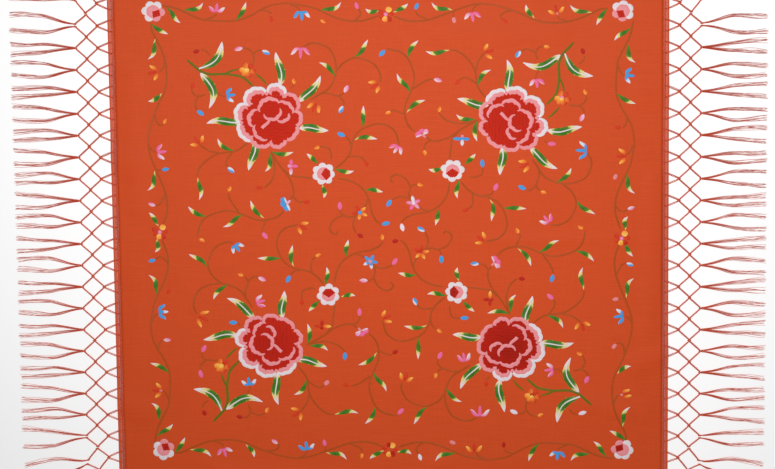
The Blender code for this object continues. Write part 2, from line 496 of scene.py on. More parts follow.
# Features of each texture in a metre, or across, along and up in it where they are streaks
WEFT = (14, 620, 1)
WARP = (560, 12, 1)
CLOUDS = 3.2
MOTTLE = 340.0
CREPE_GRAIN = 1500.0
YARN_FIBRES = (300, 2500, 1)
YARN_CLOUDS = 9.0
FLOSS = (2100, 60, 1)
ROW_WAVER = (42, 60, 1)
ROW_GAPS = (60, 130, 1)
# Metres from one thread, row of stitches or turn of yarn to the next
WEAVE_PERIOD = 0.0007
THREAD_PERIOD = 0.00045
ROW_PERIOD = 0.0080
ROW_SWING = 0.012
HEM_TWIST = 0.0016
FRINGE_TWIST = 0.0013
# The shares of weft in the weave's streaks, and of the gaps in the lines between rows
WEFT_SHARE = 0.68
GAP_SHARE = 0.9
ROW_SHADES = ((0.05, (1, 1, 1, 1)), (0.45, (0.93, 0.90, 0.90, 1)), (0.62, (0.76, 0.68, 0.68, 1)))


def silk_crepe():
    """Fine plain-woven crepe: weft slubs, a grain in both directions and a soft sheen."""
    g = Graph("silk_crepe")
    place = g.place()
    weft = g.math("MULTIPLY", g.noise(place, WEFT, 3.0), WEFT_SHARE)
    warp = g.math("MULTIPLY", g.noise(place, WARP), 1 - WEFT_SHARE)
    streaks = g.math("ADD", weft, warp)
    colour = g.ramp(streaks, stops((0.31, SILK_DEEP), (0.69, SILK)))
    colour = g.shade(colour, g.noise(place, MOTTLE), 0.94, 1.06)
    colour = g.shade(colour, g.noise(place, CLOUDS), 0.965, 1.03)
    over, under = (g.wave(place, WEAVE_PERIOD, axis, 0.6) for axis in "XY")
    crepe = g.noise(place, CREPE_GRAIN)
    normal = g.bump(g.math("ADD", over, under), distance=0.00006, strength=0.35)
    normal = g.bump(crepe, 0.0001, 0.35, normal)
    normal = g.bump(streaks, 0.0002, 0.25, normal)
    return g.finish(colour, g.grey(crepe, 0.52, 0.64), normal, specular=0.12, sheen=0.02)


def yarn(name, light, deep, period, sheen):
    """Twisted silk yarn: the twist runs slantwise round the strand."""
    g = Graph(name)
    thread = g.uv("thread")
    twist = g.wave(thread, period, "X", 0.3)
    fibre = g.noise(thread, YARN_FIBRES)
    colour = g.ramp(fibre, stops((0.25, deep), (0.75, light)))
    colour = g.shade(colour, twist, 0.91, 1.03)
    colour = g.shade(colour, g.noise(g.place(), YARN_CLOUDS), 0.94, 1.05)
    normal = g.bump(twist, distance=0.00015, strength=0.45)
    normal = g.bump(fibre, 0.0001, 0.4, normal)
    return g.finish(colour, g.grey(fibre, 0.36, 0.5), normal, specular=0.4, sheen=sheen)


def satin(name, colours, ragged=0.10, specular=0.20, rows=False):
    """Floss silk in satin stitch: colours run along the motif with ragged long-and-short joins.

    rows adds the wavy lines where one row of long stitches meets the next."""
    g = Graph(name)
    thread = g.uv("thread")
    along = g.split(g.uv("shape"))[0]
    strand = g.noise(thread, FLOSS)
    uneven = g.math("SUBTRACT", strand, 0.5)
    shift = g.math("MULTIPLY", uneven, ragged * 2)
    colour = g.ramp(g.math("ADD", along, shift, clamp=True), colours)
    line = g.wave(thread, THREAD_PERIOD, "X", 0.5)
    colour = g.shade(colour, strand, 0.88, 1.05)
    colour = g.shade(colour, line, 0.92, 1.03)
    normal = g.bump(line, distance=0.00012, strength=0.7)
    normal = g.bump(strand, 0.00015, 0.5, normal)
    if rows:
        swing = g.math("SUBTRACT", g.noise(thread, ROW_WAVER, 1.0), 0.5)
        swing = g.math("MULTIPLY", swing, ROW_SWING)
        rank = g.math("MULTIPLY", g.math("ADD", g.split(thread)[1], swing), 2 * pi / ROW_PERIOD)
        gaps = g.math("MULTIPLY", g.noise(thread, ROW_GAPS, 1.0), GAP_SHARE)
        seam = g.math("SUBTRACT", g.math("SINE", rank, 0.0), gaps)
        seam = g.ramp(g.math("ADD", seam, uneven), ROW_SHADES)
        colour = g.multiply(colour, seam)
        normal = g.bump(seam, 0.0003, 0.6, normal)
    return g.finish(colour, g.grey(strand, 0.40, 0.54), normal, specular, sheen=0.02)


# Silk colours, as the photo shows them on screen
SILK = (213, 78, 32)
SILK_DEEP = (199, 71, 28)
HEM_SILK = (212, 80, 42)
HEM_DEEP = (196, 66, 34)
FRINGE_SILK = (222, 92, 50)
FRINGE_DEEP = (200, 70, 36)
LEAF_GREEN = (78, 134, 30)
LEAF_DEEP = (58, 112, 28)
LEAF_YELLOW = (232, 214, 132)
LEAF_WHITE = (236, 222, 226)
VINE_OLIVE = (174, 76, 16)
VINE_LIGHT = (184, 76, 20)
STEM_GREEN = (102, 106, 10)
STEM_LIGHT = (116, 106, 12)
BLUE = (72, 158, 226)
BLUE_PALE = (214, 220, 234)
BLUE_WHITE = (228, 226, 236)
PINK_HOT = (240, 108, 160)
PINK_PALE = (240, 178, 200)
PINK_WHITE = (236, 222, 232)
SALMON = (234, 138, 142)
DARK_RED = (188, 32, 16)
RED_ORANGE = (216, 58, 20)
ORANGE = (252, 146, 50)
YELLOW = (255, 204, 96)
ROSE_RED = (207, 42, 18)
ROSE_DEEP = (192, 32, 14)
ROSE_WINE = (164, 28, 14)
ROSE_PINK = (240, 146, 150)
ROSE_PINK_LIGHT = (240, 152, 158)
ROSE_WHITE = (237, 226, 229)
ROSE_WHITE_DEEP = (233, 219, 223)


def make_silks():
    """Every material of the shawl, by name."""
    leaf = stops((0.0, LEAF_YELLOW), (0.12, LEAF_YELLOW), (0.20, LEAF_GREEN), (0.42, LEAF_DEEP),
                 (0.61, LEAF_GREEN), (0.67, LEAF_YELLOW), (0.75, LEAF_YELLOW), (0.81, LEAF_WHITE))
    big_leaf = stops((0.0, LEAF_WHITE), (0.08, LEAF_YELLOW), (0.17, LEAF_GREEN), (0.42, LEAF_DEEP),
                     (0.66, LEAF_GREEN), (0.72, LEAF_YELLOW), (0.80, LEAF_YELLOW), (0.87, LEAF_WHITE))
    vine = stops((0.0, VINE_OLIVE), (0.5, VINE_LIGHT), (1.0, VINE_OLIVE))
    blue = stops((0.0, BLUE), (0.45, BLUE), (0.60, BLUE_PALE), (1.0, BLUE_WHITE))
    pink = stops((0.0, PINK_HOT), (0.35, PINK_HOT), (0.60, PINK_PALE), (0.85, PINK_WHITE),
                 (0.92, PINK_WHITE), (0.96, SALMON))
    warm = stops((0.0, DARK_RED), (0.10, DARK_RED), (0.20, RED_ORANGE), (0.35, RED_ORANGE),
                 (0.60, ORANGE), (0.85, YELLOW))
    red = stops((0.0, ROSE_RED), (0.45, ROSE_DEEP), (1.0, ROSE_WINE))
    return {
        "crepe": silk_crepe(),
        "hem": yarn("hem_silk", HEM_SILK, HEM_DEEP, HEM_TWIST, sheen=0.12),
        "fringe": yarn("fringe_silk", FRINGE_SILK, FRINGE_DEEP, FRINGE_TWIST, sheen=0.20),
        "leaf": satin("leaf_silk", leaf, ragged=0.09),
        "big_leaf": satin("big_leaf_silk", big_leaf, ragged=0.13),
        "rib": satin("rib_silk", stops((0.0, LEAF_WHITE), (1.0, LEAF_WHITE))),
        "vine": satin("vine_silk", vine, ragged=0.30),
        "stem": satin("stem_silk", stops((0.0, STEM_GREEN), (1.0, STEM_LIGHT)), ragged=0.20),
        "blue": satin("blue_silk", blue),
        "pink": satin("pink_silk", pink),
        "warm": satin("warm_silk", warm, ragged=0.06),
        "rose_red": satin("rose_red_silk", red, ragged=0.20, specular=0.10, rows=True),
        "rose_pink": satin("rose_pink_silk", stops((0.0, ROSE_PINK), (1.0, ROSE_PINK_LIGHT))),
        "rose_white": satin("rose_white_silk", stops((0.0, ROSE_WHITE), (1.0, ROSE_WHITE_DEEP))),
    }


# The chart. Pixels of the photo, for the top left quarter; names of silks are for the top left,
# top right, bottom right and bottom left quarters in turn.
# A leaf bows to its left by sag and curves back by curl, both as shares of its length; pale says
# that its base is pale too
Leaf = namedtuple("Leaf", "base_x base_y tip_x tip_y sag curl pale")
BIG_LEAVES = (
    Leaf(199, 68.5, 222, 41.5, -0.20, 0.00, 0),
    Leaf(200.5, 73, 209, 108.5, 0.21, -0.02, 1),
    Leaf(240.5, 122.5, 206.5, 123.5, -0.06, 0.03, 1),
    Leaf(280, 85, 275.5, 52, -0.07, -0.03, 1),
    Leaf(298.5, 101.5, 320.5, 75.5, -0.08, 0.02, 1),
    Leaf(299.5, 128.5, 328.5, 130.5, 0.04, 0.03, 1),
    Leaf(255, 141, 248.5, 170.5, 0.05, 0.03, 1),
)
LEAVES = (
    Leaf(234, 151, 217.5, 138.5, 0.16, -0.02, 0),
    Leaf(197.5, 177.5, 199, 200, 0.10, -0.03, 1),
    Leaf(271, 151.5, 293.5, 152, -0.12, 0.00, 0),
    Leaf(270.5, 153.5, 265, 171.5, 0.13, -0.04, 0),
    Leaf(206.5, 216.5, 188, 206.5, 0.11, 0.00, 0),
    Leaf(243.5, 215, 223, 227, 0.00, -0.05, 0),
    Leaf(264, 218, 250.5, 200.5, 0.12, 0.00, 1),
    Leaf(318, 164, 306.5, 153.5, -0.03, 0.00, 0),
    Leaf(334.5, 169.5, 354, 170.8, -0.08, 0.03, 0),
    Leaf(322.5, 184.5, 323.5, 198, 0.10, -0.03, 1),
    Leaf(365, 190.5, 383, 192, 0.08, 0.02, 0),
    Leaf(363.5, 128, 363.5, 105.5, 0.02, 0.00, 0),
    Leaf(354.5, 140, 377.5, 139, 0.11, 0.02, 1),
    Leaf(353.5, 57, 368, 39.5, -0.10, -0.03, 0),
    Leaf(335.5, 76.5, 319, 62.5, -0.11, 0.02, 0),
)

Bud = namedtuple("Bud", "x y silks")
BUDS = (
    Bud(196.2, 51.5, "darkred darkred white darkred"),
    Bud(238.5, 48.8, "pinkwhite orange orange pink"),
    Bud(266, 52.3, "bluewhite pinkwhite white pink"),
    Bud(192.7, 85.7, "redorange orange pink darkred"),
    Bud(200.5, 112.8, "blue bluewhite orange orange"),
    Bud(230.9, 170, "bluewhite redorange pink palepink"),
    Bud(259.6, 187.7, "redorange orange darkred blue"),
    Bud(306.5, 202, "redorange orange bluewhite pink"),
    Bud(202, 240.6, "orange blue orange pink"),
    Bud(229.2, 188.5, "orange pinkwhite blue redorange"),
    Bud(265, 235.7, "pink orange orange darkred"),
    Bud(385.9, 223.5, "blue white darkred orange"),
    Bud(339.8, 205.9, "pink orange blue pinkwhite"),
    Bud(360.2, 235.7, "darkred blue bluewhite pink"),
    Bud(341.2, 134.5, "blue pink orange blue"),
    Bud(366.2, 163.6, "redorange redorange bluewhite orange"),
    Bud(316.5, 147.2, "orange blue blue redorange"),
    Bud(346.3, 88.9, "pinkwhite orange orange orange"),
    Bud(341.2, 109.5, "bluewhite blue pink pinkwhite"),
    Bud(294.3, 81, "orange pink redorange blue"),
)

# A flower's base and the tip of its middle petal, the degrees from its first petal to its last, its
# silks, and the degrees that it is turned anticlockwise in each quarter
Bloom = namedtuple("Bloom", "base_x base_y tip_x tip_y spread silks turns", defaults=((0, 0, 0, 0),))
BLOOMS = (
    Bloom(227.5, 95.5, 236, 94.5, 113, "blue0 pink0 pink0 blue02"),
    Bloom(199, 143, 196.5, 135, 131, "orange orange orange orange", (22, 0, 0, 20)),
    Bloom(398, 146.5, 393, 154, 105, "pink12 orange orange orange", (0, 0, -30, 0)),
    Bloom(316, 104, 311.8, 112.8, 84, "orange orange pink0 pink2", (0, 50, 35, 40)),
    Bloom(377.3, 84.2, 369.5, 89.5, 98, "orange pink2 orange blue02", (0, 0, 32, 0)),
    Bloom(300.5, 48.5, 300.5, 60, 112, "pink0 blue0 pink0 orange", (0, 0, 0, -25)),
)

# Open flowers: middle, degrees of the first petal from the right, and reach of each petal in
# pixels clockwise. For each quarter they have the piece of the petals, each petal's colours at its
# base and tip, and the heart's piece, its pixels right and down of the middle, size and colours
StarSilk = namedtuple("StarSilk", "piece petals heart right down size colours",
                      defaults=("", 0, 0, 0, (0, 0)))
Star = namedtuple("Star", "x y turn reaches quarters")
STARS = (
    Star(360, 212.5, 46, (8, 8, 7.8, 8.2, 8), (
        StarSilk("warm", ((0.34, 0.82), (0.34, 0.84), (0.36, 0.80), (0.16, 0.30), (0.16, 0.28)),
                 "blue", 0, 0, 2.1, (0.0, 0.2)),
        StarSilk("pink", ((0.44, 0.56), (0.26, 0.16), (0.54, 0.40), (0.88, 0.88), (0.54, 0.32)),
                 "pink", 0, 0, 1.6, (0.80, 0.86)),
        StarSilk("warm", ((0.34, 0.84), (0.10, 0.24), (0.12, 0.24), (0.30, 0.76), (0.34, 0.82))),
        StarSilk("blue", ((0.62, 0.10), (0.0, 0.30), (0.0, 0.30), (0.0, 1.0), (0.0, 1.0)),
                 "pink", 0, 0, 1.9, (1.0, 0.96)),
    )),
    Star(291, 166, 88, (7.2, 7.4, 9.6, 3.6), (
        StarSilk("pink", ((0.1, 0.35), (0.1, 0.30), (0.15, 0.95), (0.45, 0.55)),
                 "pink", 0, 0, 0.9, (0.60, 0.50)),
        StarSilk("blue", ((0.05, 0.30), (0.45, 1.0), (0.05, 0.30), (0.30, 0.30)),
                 "pink", 0, -3, 1.6, (1.0, 0.96)),
        StarSilk("warm", ((0.10, 0.18), (0.06, 0.16), (0.34, 0.88), (0.10, 0.16))),
        StarSilk("warm", ((0.40, 0.10), (0.10, 0.18), (0.34, 0.88), (0.02, 0.08))),
    )),
)

# Stems of the rose sprays, thick and green
STEMS = (
    ((187, 60), (193, 65), (200.5, 71), (210.3, 74.3), (224.4, 74), (233, 75), (242.8, 77.5), (253, 86)),
    ((224.4, 73.8), (231, 71), (238.5, 68.9)),
    ((255.8, 73.8), (263.4, 80.3), (266.7, 84.6)),
)

# Vines and tendrils, thin and olive
VINES = (
    ((253, 65), (253.6, 55.3), (249, 49.5), (242.8, 47.7)),
    ((253.6, 55.3), (256, 51.5), (261.2, 50.1)),
    ((209.7, 55.3), (206, 51), (201.6, 49.7)),
    ((217, 93), (221, 95.4), (226, 96.5)),
    ((205.9, 94.4), (198.3, 96.3), (192.5, 92.5), (191.8, 88)),
    ((198.3, 96.3), (195, 104), (197.2, 110.6)),
    ((247.7, 143), (238.5, 149.7), (233, 151.5), (216.8, 154.3), (204.8, 162), (198.5, 170), (197.2, 177)),
    ((233, 151.6), (227.6, 158.7), (226, 164), (229.0, 168.4)),
    ((222.2, 153.5), (209.2, 150.8), (199.4, 144.3)),
    ((271, 151), (273, 158), (274.8, 169.5), (271, 181.5), (264, 188)),
    ((271, 151), (276, 160), (281.8, 168.4), (289.4, 178.2), (293.2, 188), (293.2, 195.6), (289, 200)),
    ((293.2, 195.6), (296, 200), (300, 202), (304, 202)),
    ((281.8, 168.4), (287, 172.5), (292.7, 176), (300, 176.8), (313, 178.4)),
    ((284, 210.7), (278.6, 216), (270, 219.4), (258, 220), (243.9, 215), (233, 211.3), (222.2, 211.3),
     (208, 216.2), (200.5, 223.8), (197.2, 236.8)),
    ((239.5, 213), (230.9, 201), (228, 193.4)),
    ((266, 219.8), (261.8, 230.3), (263, 233)),
    ((337.4, 178.4), (348.8, 180.4), (358.6, 185.2), (365, 191.8), (369.4, 201), (372, 212.9), (376, 220.5),
     (380.8, 224.6)),
    ((367.8, 197.7), (366.2, 204.2), (362, 209)),
    ((357.5, 215.6), (348.8, 217.2), (343.4, 215.6), (334.7, 219.4), (329.8, 227), (331.5, 232.4),
     (335.8, 234), (338.5, 231.3)),
    ((343.4, 215.6), (340.5, 212.8), (339.8, 209)),
    ((355, 217), (353, 224.8), (356.4, 233.5)),
    ((335.8, 168), (343.4, 162), (348.8, 155.4), (350.9, 148.6), (352.5, 141), (354.2, 137.7), (357, 133),
     (364, 128), (376, 124.2), (386.8, 125.3), (395.4, 132.3), (399.2, 144.3)),
    ((350.4, 146.4), (349.3, 140), (345, 136)),
    ((348.8, 157.3), (352, 156.5), (360.7, 157), (365.6, 162)),
    ((330.9, 160), (331.5, 156.2), (329.3, 149), (325, 147), (319, 147)),
    ((310.8, 99.8), (320.6, 93.8), (327, 90), (331.5, 84.6), (334.5, 78), (336.3, 70.5), (336.3, 67.2),
     (334.7, 58.6), (329.3, 48.8), (319.5, 44), (310.8, 43.4), (303.3, 46.6)),
    ((336.5, 71), (343.4, 62.9), (354.2, 58), (365, 59.7), (374.8, 65), (380.3, 74.8), (380.3, 82.4)),
    ((320.6, 93.8), (328.2, 93.3), (338, 96), (344, 93)),
    ((338, 96), (342, 99), (344, 103), (343, 106)),
    ((291, 88), (294.3, 85)),
)

# The top border, from the top left corner flower to the top right one; its silks are for the top,
# right, bottom and left borders in turn
BORDER_VINES = (
    ((159.3, 4.9), (173.4, 7.6), (182, 10.8), (197.2, 17.9), (206, 20), (233, 21.1), (249.3, 16.3),
     (260, 10.3), (271, 5.4), (287, 3.3), (300, 4.9), (310.8, 7), (320.6, 10.8), (332.5, 16.3),
     (346.6, 20.6), (359.7, 21.1), (369.4, 19), (379, 15.7)),
    ((394.4, 16.3), (404, 20), (413.9, 21.4), (428, 20), (441, 15.7), (454, 10.8), (470, 5.4),
     (481, 3.9), (497.6, 6), (514, 11), (525, 15.5), (536, 20.4), (549.5, 22.8), (566, 22),
     (580.4, 18.2), (591.4, 13.2), (600, 9.4), (608, 8.6)),
    ((205, 19.8), (213, 17), (216.8, 14)),
    ((260, 10.3), (267, 11), (271.5, 14)),
    ((290, 5), (297, 7), (300, 11)),
    ((353, 20.8), (358, 18), (360.5, 13), (357.5, 8.5)),
    ((428, 19.5), (418, 15), (415, 10.3)),
    ((454, 10.8), (453, 15), (453.5, 17.5)),
    ((481, 4), (475, 6.5), (472, 11)),
    ((514, 11), (505, 12), (500.5, 16), (502, 19)),
    ((567, 21), (560, 19), (557.5, 16)),
)
BORDER_LEAVES = (
    Leaf(166.5, 7.5, 180.5, 23, -0.02, 0.04, 0),
    Leaf(183.5, 10.5, 203, 2.5, -0.15, 0.05, 0),
    Leaf(235.5, 20.5, 246, 2, -0.08, 0.00, 0),
    Leaf(320, 10.5, 341, 2, -0.13, 0.05, 0),
    Leaf(380, 11, 365.5, 8.5, 0.15, -0.05, 1),
    Leaf(393.5, 12.5, 408, 3.5, -0.04, 0.02, 1),
    Leaf(452.5, 10, 431.5, 2.5, 0.13, -0.05, 1),
    Leaf(534.5, 18, 526, 4.5, 0.12, -0.02, 1),
    Leaf(592, 12.5, 570, 5, 0.13, -0.04, 1),
    Leaf(607.5, 8.5, 596.5, 25, -0.05, 0.00, 0),
)
BORDER_BUDS = (
    Bud(271.5, 19, "redorange redorange darkred pinkwhite"),
    Bud(323.5, 21.1, "orange palepink palepink redorange"),
    Bud(356.6, 5.6, "pink pinkwhite white blue"),
    Bud(416.6, 6.3, "blue bluewhite orange pinkwhite"),
    Bud(454, 20, "palepink palepink pink blue"),
    Bud(504.8, 21, "redorange palepink pinkwhite orange"),
)
BORDER_BLOOMS = (
    Bloom(216.5, 11, 217, 2.5, 126, "pink0 blue0 blue0 orange"),
    Bloom(301.5, 12, 302, 22, 109, "blue2 orange1 orange1 blue1"),
    Bloom(472, 13.5, 473.5, 23, 121, "pink0 blue0 blue0 pink0"),
    Bloom(557, 12.5, 555, 5.5, 128, "orange orange2 pink2 orange1"),
)

# Each name of a silk: the piece that it is stitched in, and the share of that piece's colours
Tone = namedtuple("Tone", "piece start end")
TONES = {
    "blue": Tone("blue", 0.0, 0.42),
    "bluewhite": Tone("blue", 0.0, 1.0),
    "pink": Tone("pink", 0.0, 0.45),
    "pinkwhite": Tone("pink", 0.25, 0.88),
    "palepink": Tone("pink", 1.0, 1.0),
    "white": Tone("pink", 0.84, 0.88),
    "darkred": Tone("warm", 0.0, 0.08),
    "redorange": Tone("warm", 0.20, 0.36),
    "orange": Tone("warm", 0.24, 0.84),
}

PIXEL = METRES_A_PIXEL
LEAF_HALF_WIDTH = 2.28 * PIXEL
BIG_LEAF_HALF_WIDTH = 4.3 * PIXEL
RIB_HALF_WIDTH = 0.70 * PIXEL
VINE_HALF_WIDTH = 0.98 * PIXEL
STEM_HALF_WIDTH = 1.30 * PIXEL
BUD_LENGTH = 8.7 * PIXEL
BUD_HALF_WIDTH = 2.2 * PIXEL
ROUND_BUD_LENGTH = 6.5 * PIXEL
PETAL_HALF_WIDTH = 1.75 * PIXEL
LEAF_CROWN = 0.0009
PETAL_CROWN = 0.0010

# Where the stitches of a quarter or a border lie off the turned chart, in pixels right and down: at
# the shawl's middle or the border's start (near), and at its corner or the border's end (far)
Drift = namedtuple("Drift", "near_right near_down far_right far_down")
QUARTER_DRIFTS = (
    Drift(0, 0, 0, 0),
    Drift(1.9, -1.6, 1.8, 0.2),
    Drift(0.4, -1.6, 1.6, 1.8),
    Drift(1.5, -0.3, 0.4, 2.2),
)
BORDER_DRIFTS = (
    Drift(0, 0, 0, 0),
    Drift(3.6, 3.4, 1.4, 5.6),
    Drift(-2.2, 3.0, -4.6, 1.2),
    Drift(-2.4, -0.6, 0.0, -2.8),
)
Place = namedtuple("Place", "quarter border")


def step_of(right, down):
    """A step over the cloth, (x, y), for pixels to the right and down in the photo."""
    return np.array((right, -down / cos(TILT))) * PIXEL


def charted(px, py, place):
    """The point (x, y) of a pixel of the chart, turned to its quarter or border and drifted there."""
    plain = from_photo(px, py)
    row = (BORDER_DRIFTS if place.border else QUARTER_DRIFTS)[place.quarter]
    share = min(1.0, plain[0] / SIDE + 0.5 if place.border else abs(plain).max() / 0.5)
    right = row.near_right + (row.far_right - row.near_right) * share
    down = row.near_down + (row.far_down - row.near_down) * share
    return turned(plain, place.quarter) + step_of(right, down)


def leaf_profile(u, base_power, tip_power):
    """Half width of a pointed leaf along its length, from 0 to 1."""
    peak = base_power / (base_power + tip_power)
    top = peak**base_power * (1 - peak) ** tip_power
    return u**base_power * (1 - u) ** tip_power / top


def over_strip(count):
    """Shares along a strip, from 0 to 1, and across it, from -1 to 1."""
    return np.linspace(0, 1, count)[:, None], np.linspace(-1, 1, STRIP_COLUMNS)[None, :]


def leaf_spine(row, place, count):
    base, tip = charted(row.base_x, row.base_y, place), charted(row.tip_x, row.tip_y, place)
    return bent_path(base, tip, count, row.sag, row.curl)


# A small leaf's rows of points, the share of its width at its base, the powers of its profile, how
# its colours slant and slip, and where they start if its base isn't pale
LEAF_ROWS = 19
LEAF_BASE = 0.06
LEAF_POWERS = (1.35, 1.25)
LEAF_SLANT = 0.06
LEAF_SLIP = 0.04
LEAF_GREEN_FROM = 0.22


def small_leaf(work, row, place, seed):
    """A willow leaf: thin at its base, green, then a slanting yellow band and a slender white tip."""
    u, v = over_strip(LEAF_ROWS)
    half = LEAF_HALF_WIDTH * (LEAF_BASE + (1 - LEAF_BASE) * leaf_profile(u[:, 0], *LEAF_POWERS))
    half[-1] = 0.0
    side, slip = scatter(seed, 2)
    tone = u + LEAF_SLANT * np.sign(side) * v + LEAF_SLIP * slip * u
    tone = np.clip(np.maximum(tone, 0.0 if row.pale else LEAF_GREEN_FROM), 0, 1)
    stitch(work, leaf_spine(row, place, LEAF_ROWS), half, half, LEAF_CROWN, tone, "slant")


# Where the pale notches of a large leaf lie along its left and right blades
TEETH = (
    ((0.30, 0.66), (0.46, 0.76)),
    ((0.40, 0.74), (0.26, 0.60)),
    ((0.22, 0.62), (0.34, 0.70)),
)
# A large leaf's rows of points, the powers of its profile, which a pale base makes blunt, where its
# green starts, how its colours bend back along its edges, and its notches and rib
BIG_LEAF_ROWS = 45
BIG_LEAF_POWER = 0.85
BLUNT_POWER = 0.58
BIG_GREEN_FROM = 0.17
TONE_BEND = 0.26
TONE_BENDS_FROM = 0.42
TOOTH_DRIFT = 0.03
NOTCH_DEPTH = 0.14
NOTCH_LENGTH = 0.09
NOTCH_TONE = 0.76
PALE_BACK = 0.03
PALE_LENGTH = 0.05
RIB_SHARE = 0.84
RIB_CROWN = 0.0006
RIB_LIFT = 0.0002
RIB_RISE = 0.0007
RIB_RISES_BY = 0.12


def big_leaf(work, ribs, row, place, seed):
    """A leaf of two blades with a pale rib, pale at its base, its notches and its tip."""
    u, v = over_strip(BIG_LEAF_ROWS)
    spine = leaf_spine(row, place, BIG_LEAF_ROWS)
    drift = TOOTH_DRIFT * scatter(seed, 6)
    base_power = BLUNT_POWER if row.pale else BIG_LEAF_POWER
    for side, ends in zip((1, -1), TEETH[seed % len(TEETH)]):
        outer = np.clip(v * side, 0, 1)
        half = BIG_LEAF_HALF_WIDTH * leaf_profile(u[:, 0], base_power, BIG_LEAF_POWER)
        tone = u + TONE_BEND * (u - TONE_BENDS_FROM) * outer**2 + drift[0] * side
        if not row.pale:
            tone = np.maximum(tone, BIG_GREEN_FROM)
        for k, end in enumerate(ends):
            past = u - (end + drift[1 + k + (side < 0) * 2])
            notch = np.where(past > 0, np.exp(-past / NOTCH_LENGTH), 0.0)[:, 0]
            half = half * (1 - NOTCH_DEPTH * notch)
            patch = np.exp(-(((past + PALE_BACK) / PALE_LENGTH) ** 2)) * np.clip(1.6 * outer - 0.5, 0, 1)
            tone = np.maximum(tone, NOTCH_TONE * patch)
        half[-1] = 0.0
        left, right = (half, 0.0) if side > 0 else (0.0, half)
        stitch(work, spine, left, right, LEAF_CROWN, np.clip(tone, 0, 1), "slant")
    keep = slice(0, int(BIG_LEAF_ROWS * RIB_SHARE))
    taper = RIB_HALF_WIDTH * (1.15 - 0.55 * u[keep, 0])
    lift = RIB_LIFT + RIB_RISE * np.minimum(1, u[keep] / RIB_RISES_BY)
    stitch(ribs, spine[keep], taper, taper, RIB_CROWN, lay="rope", lift=lift, across=3)


# A stalk's step from point to point, and how far from its ends it is slimmer, and how slim there
STALK_STEP = 0.004
STALK_TAPER = 0.012
STALK_END = 0.55


def stalk(work, knots, place, half_width, crown):
    """A vine or a stem through the chart's knots, slimmer at its ends."""
    path = smooth_path([charted(*k, place) for k in knots], STALK_STEP)
    s = arc_length(path)
    full = np.clip(np.minimum(s, s[-1] - s) / STALK_TAPER, 0, 1)
    half = half_width * (STALK_END + (1 - STALK_END) * full)
    stitch(work, path, half, half, crown, lay="rope", across=3)


PETAL_ROWS = 13
OVAL_POWER = 0.42


def oval(work, base, tip, half_width, tone, lift=BASE_LIFT, count=PETAL_ROWS, split=0.0, power=OVAL_POWER):
    """A padded oval. Its colours go from base to tip, and across it too where split isn't 0."""
    u, v = over_strip(count)
    half = half_width * leaf_profile(u[:, 0], power, power)
    share = (1 - abs(split)) * u + abs(split) * (0.5 + 0.5 * v * np.sign(split))
    tones = tone[0] + (tone[1] - tone[0]) * share
    stitch(work, bent_path(base, tip, count), half, half, PETAL_CROWN, tones, "along", lift=lift)


BORDER_BUD_SIZE = 0.88
BUD_SPLIT = 0.55
BUD_POWER = 0.75
PALE_BUD_POWER = 0.45


def bud(works, row, place, vines):
    """A bud at the end of its stalk, of two tones that meet along it."""
    ends = [point for vine in vines for point in (vine[0], vine[-1])]
    end = charted(*min(ends, key=lambda p: hypot(p[0] - row.x, p[1] - row.y)), place)
    middle = charted(row.x, row.y, place)
    name = row.silks.split()[place.quarter]
    tone = TONES[name]
    size = BORDER_BUD_SIZE if place.border else 1.0
    short = name == "palepink" or tone.piece == "warm"
    reach = unit(middle - end) * (ROUND_BUD_LENGTH if short else BUD_LENGTH * size) / 2
    oval(works[tone.piece], middle - reach, middle + reach, BUD_HALF_WIDTH * size, (tone.end, tone.start),
         split=BUD_SPLIT if int(row.x) % 2 else -BUD_SPLIT,
         power=PALE_BUD_POWER if name == "palepink" else BUD_POWER)


PETAL_POWERS = (0.80, 0.75)
PETAL_BASE = 0.50
PALEST = 0.88


def petal(work, base, angle, length, half_width, tone, lift=BASE_LIFT, sag=0.0, curl=0.0, pale=0.0):
    """A pointed petal. Its colours run from base to tip, and on by pale toward its left edge, or its
    right edge if pale is below 0."""
    u, v = over_strip(PETAL_ROWS)
    half = half_width * np.maximum(leaf_profile(u[:, 0], *PETAL_POWERS), PETAL_BASE * (1 - u[:, 0]))
    tones = tone[0] + (tone[1] - tone[0]) * u + abs(pale) * np.clip(v * np.sign(pale), 0, 1)
    path = bent_path(base, base + polar(length, angle), PETAL_ROWS, sag, curl)
    stitch(work, path, half, half, PETAL_CROWN, np.clip(tones, 0, PALEST), "along", lift=lift)


# The colours of a little flower's petals, from base to tip, and how far on they go toward an edge:
# an orange flower's middle and outer petals, then white petals and other outer ones by their piece
PetalTone = namedtuple("PetalTone", "start end pale")
ORANGE_TONES = (PetalTone(0.14, 0.30, 0), PetalTone(0.32, 0.84, 0))
WHITE_TONES = {"blue": PetalTone(0.10, 1.0, 0.12), "pink": PetalTone(0.26, 0.92, 0.28)}
OUTER_TONES = {"blue": PetalTone(0.0, 0.40, 0.25), "pink": PetalTone(0.0, 0.40, 0.48)}
# A flower's petals, how much higher each next one lies, how short they may be, how far a closed
# flower spreads, the sizes of its petals, and how much the outer ones bend
BLOOM_PETALS = 3
PETAL_STEP = 0.0002
SHORTEST_PETAL = 9.0 * PIXEL
CLOSED_SPREAD = 0.35
MIDDLE_PETAL = 0.92
OUTER_PETAL = 1.02
OUTER_SAG = 0.26
OUTER_CURL = 0.12


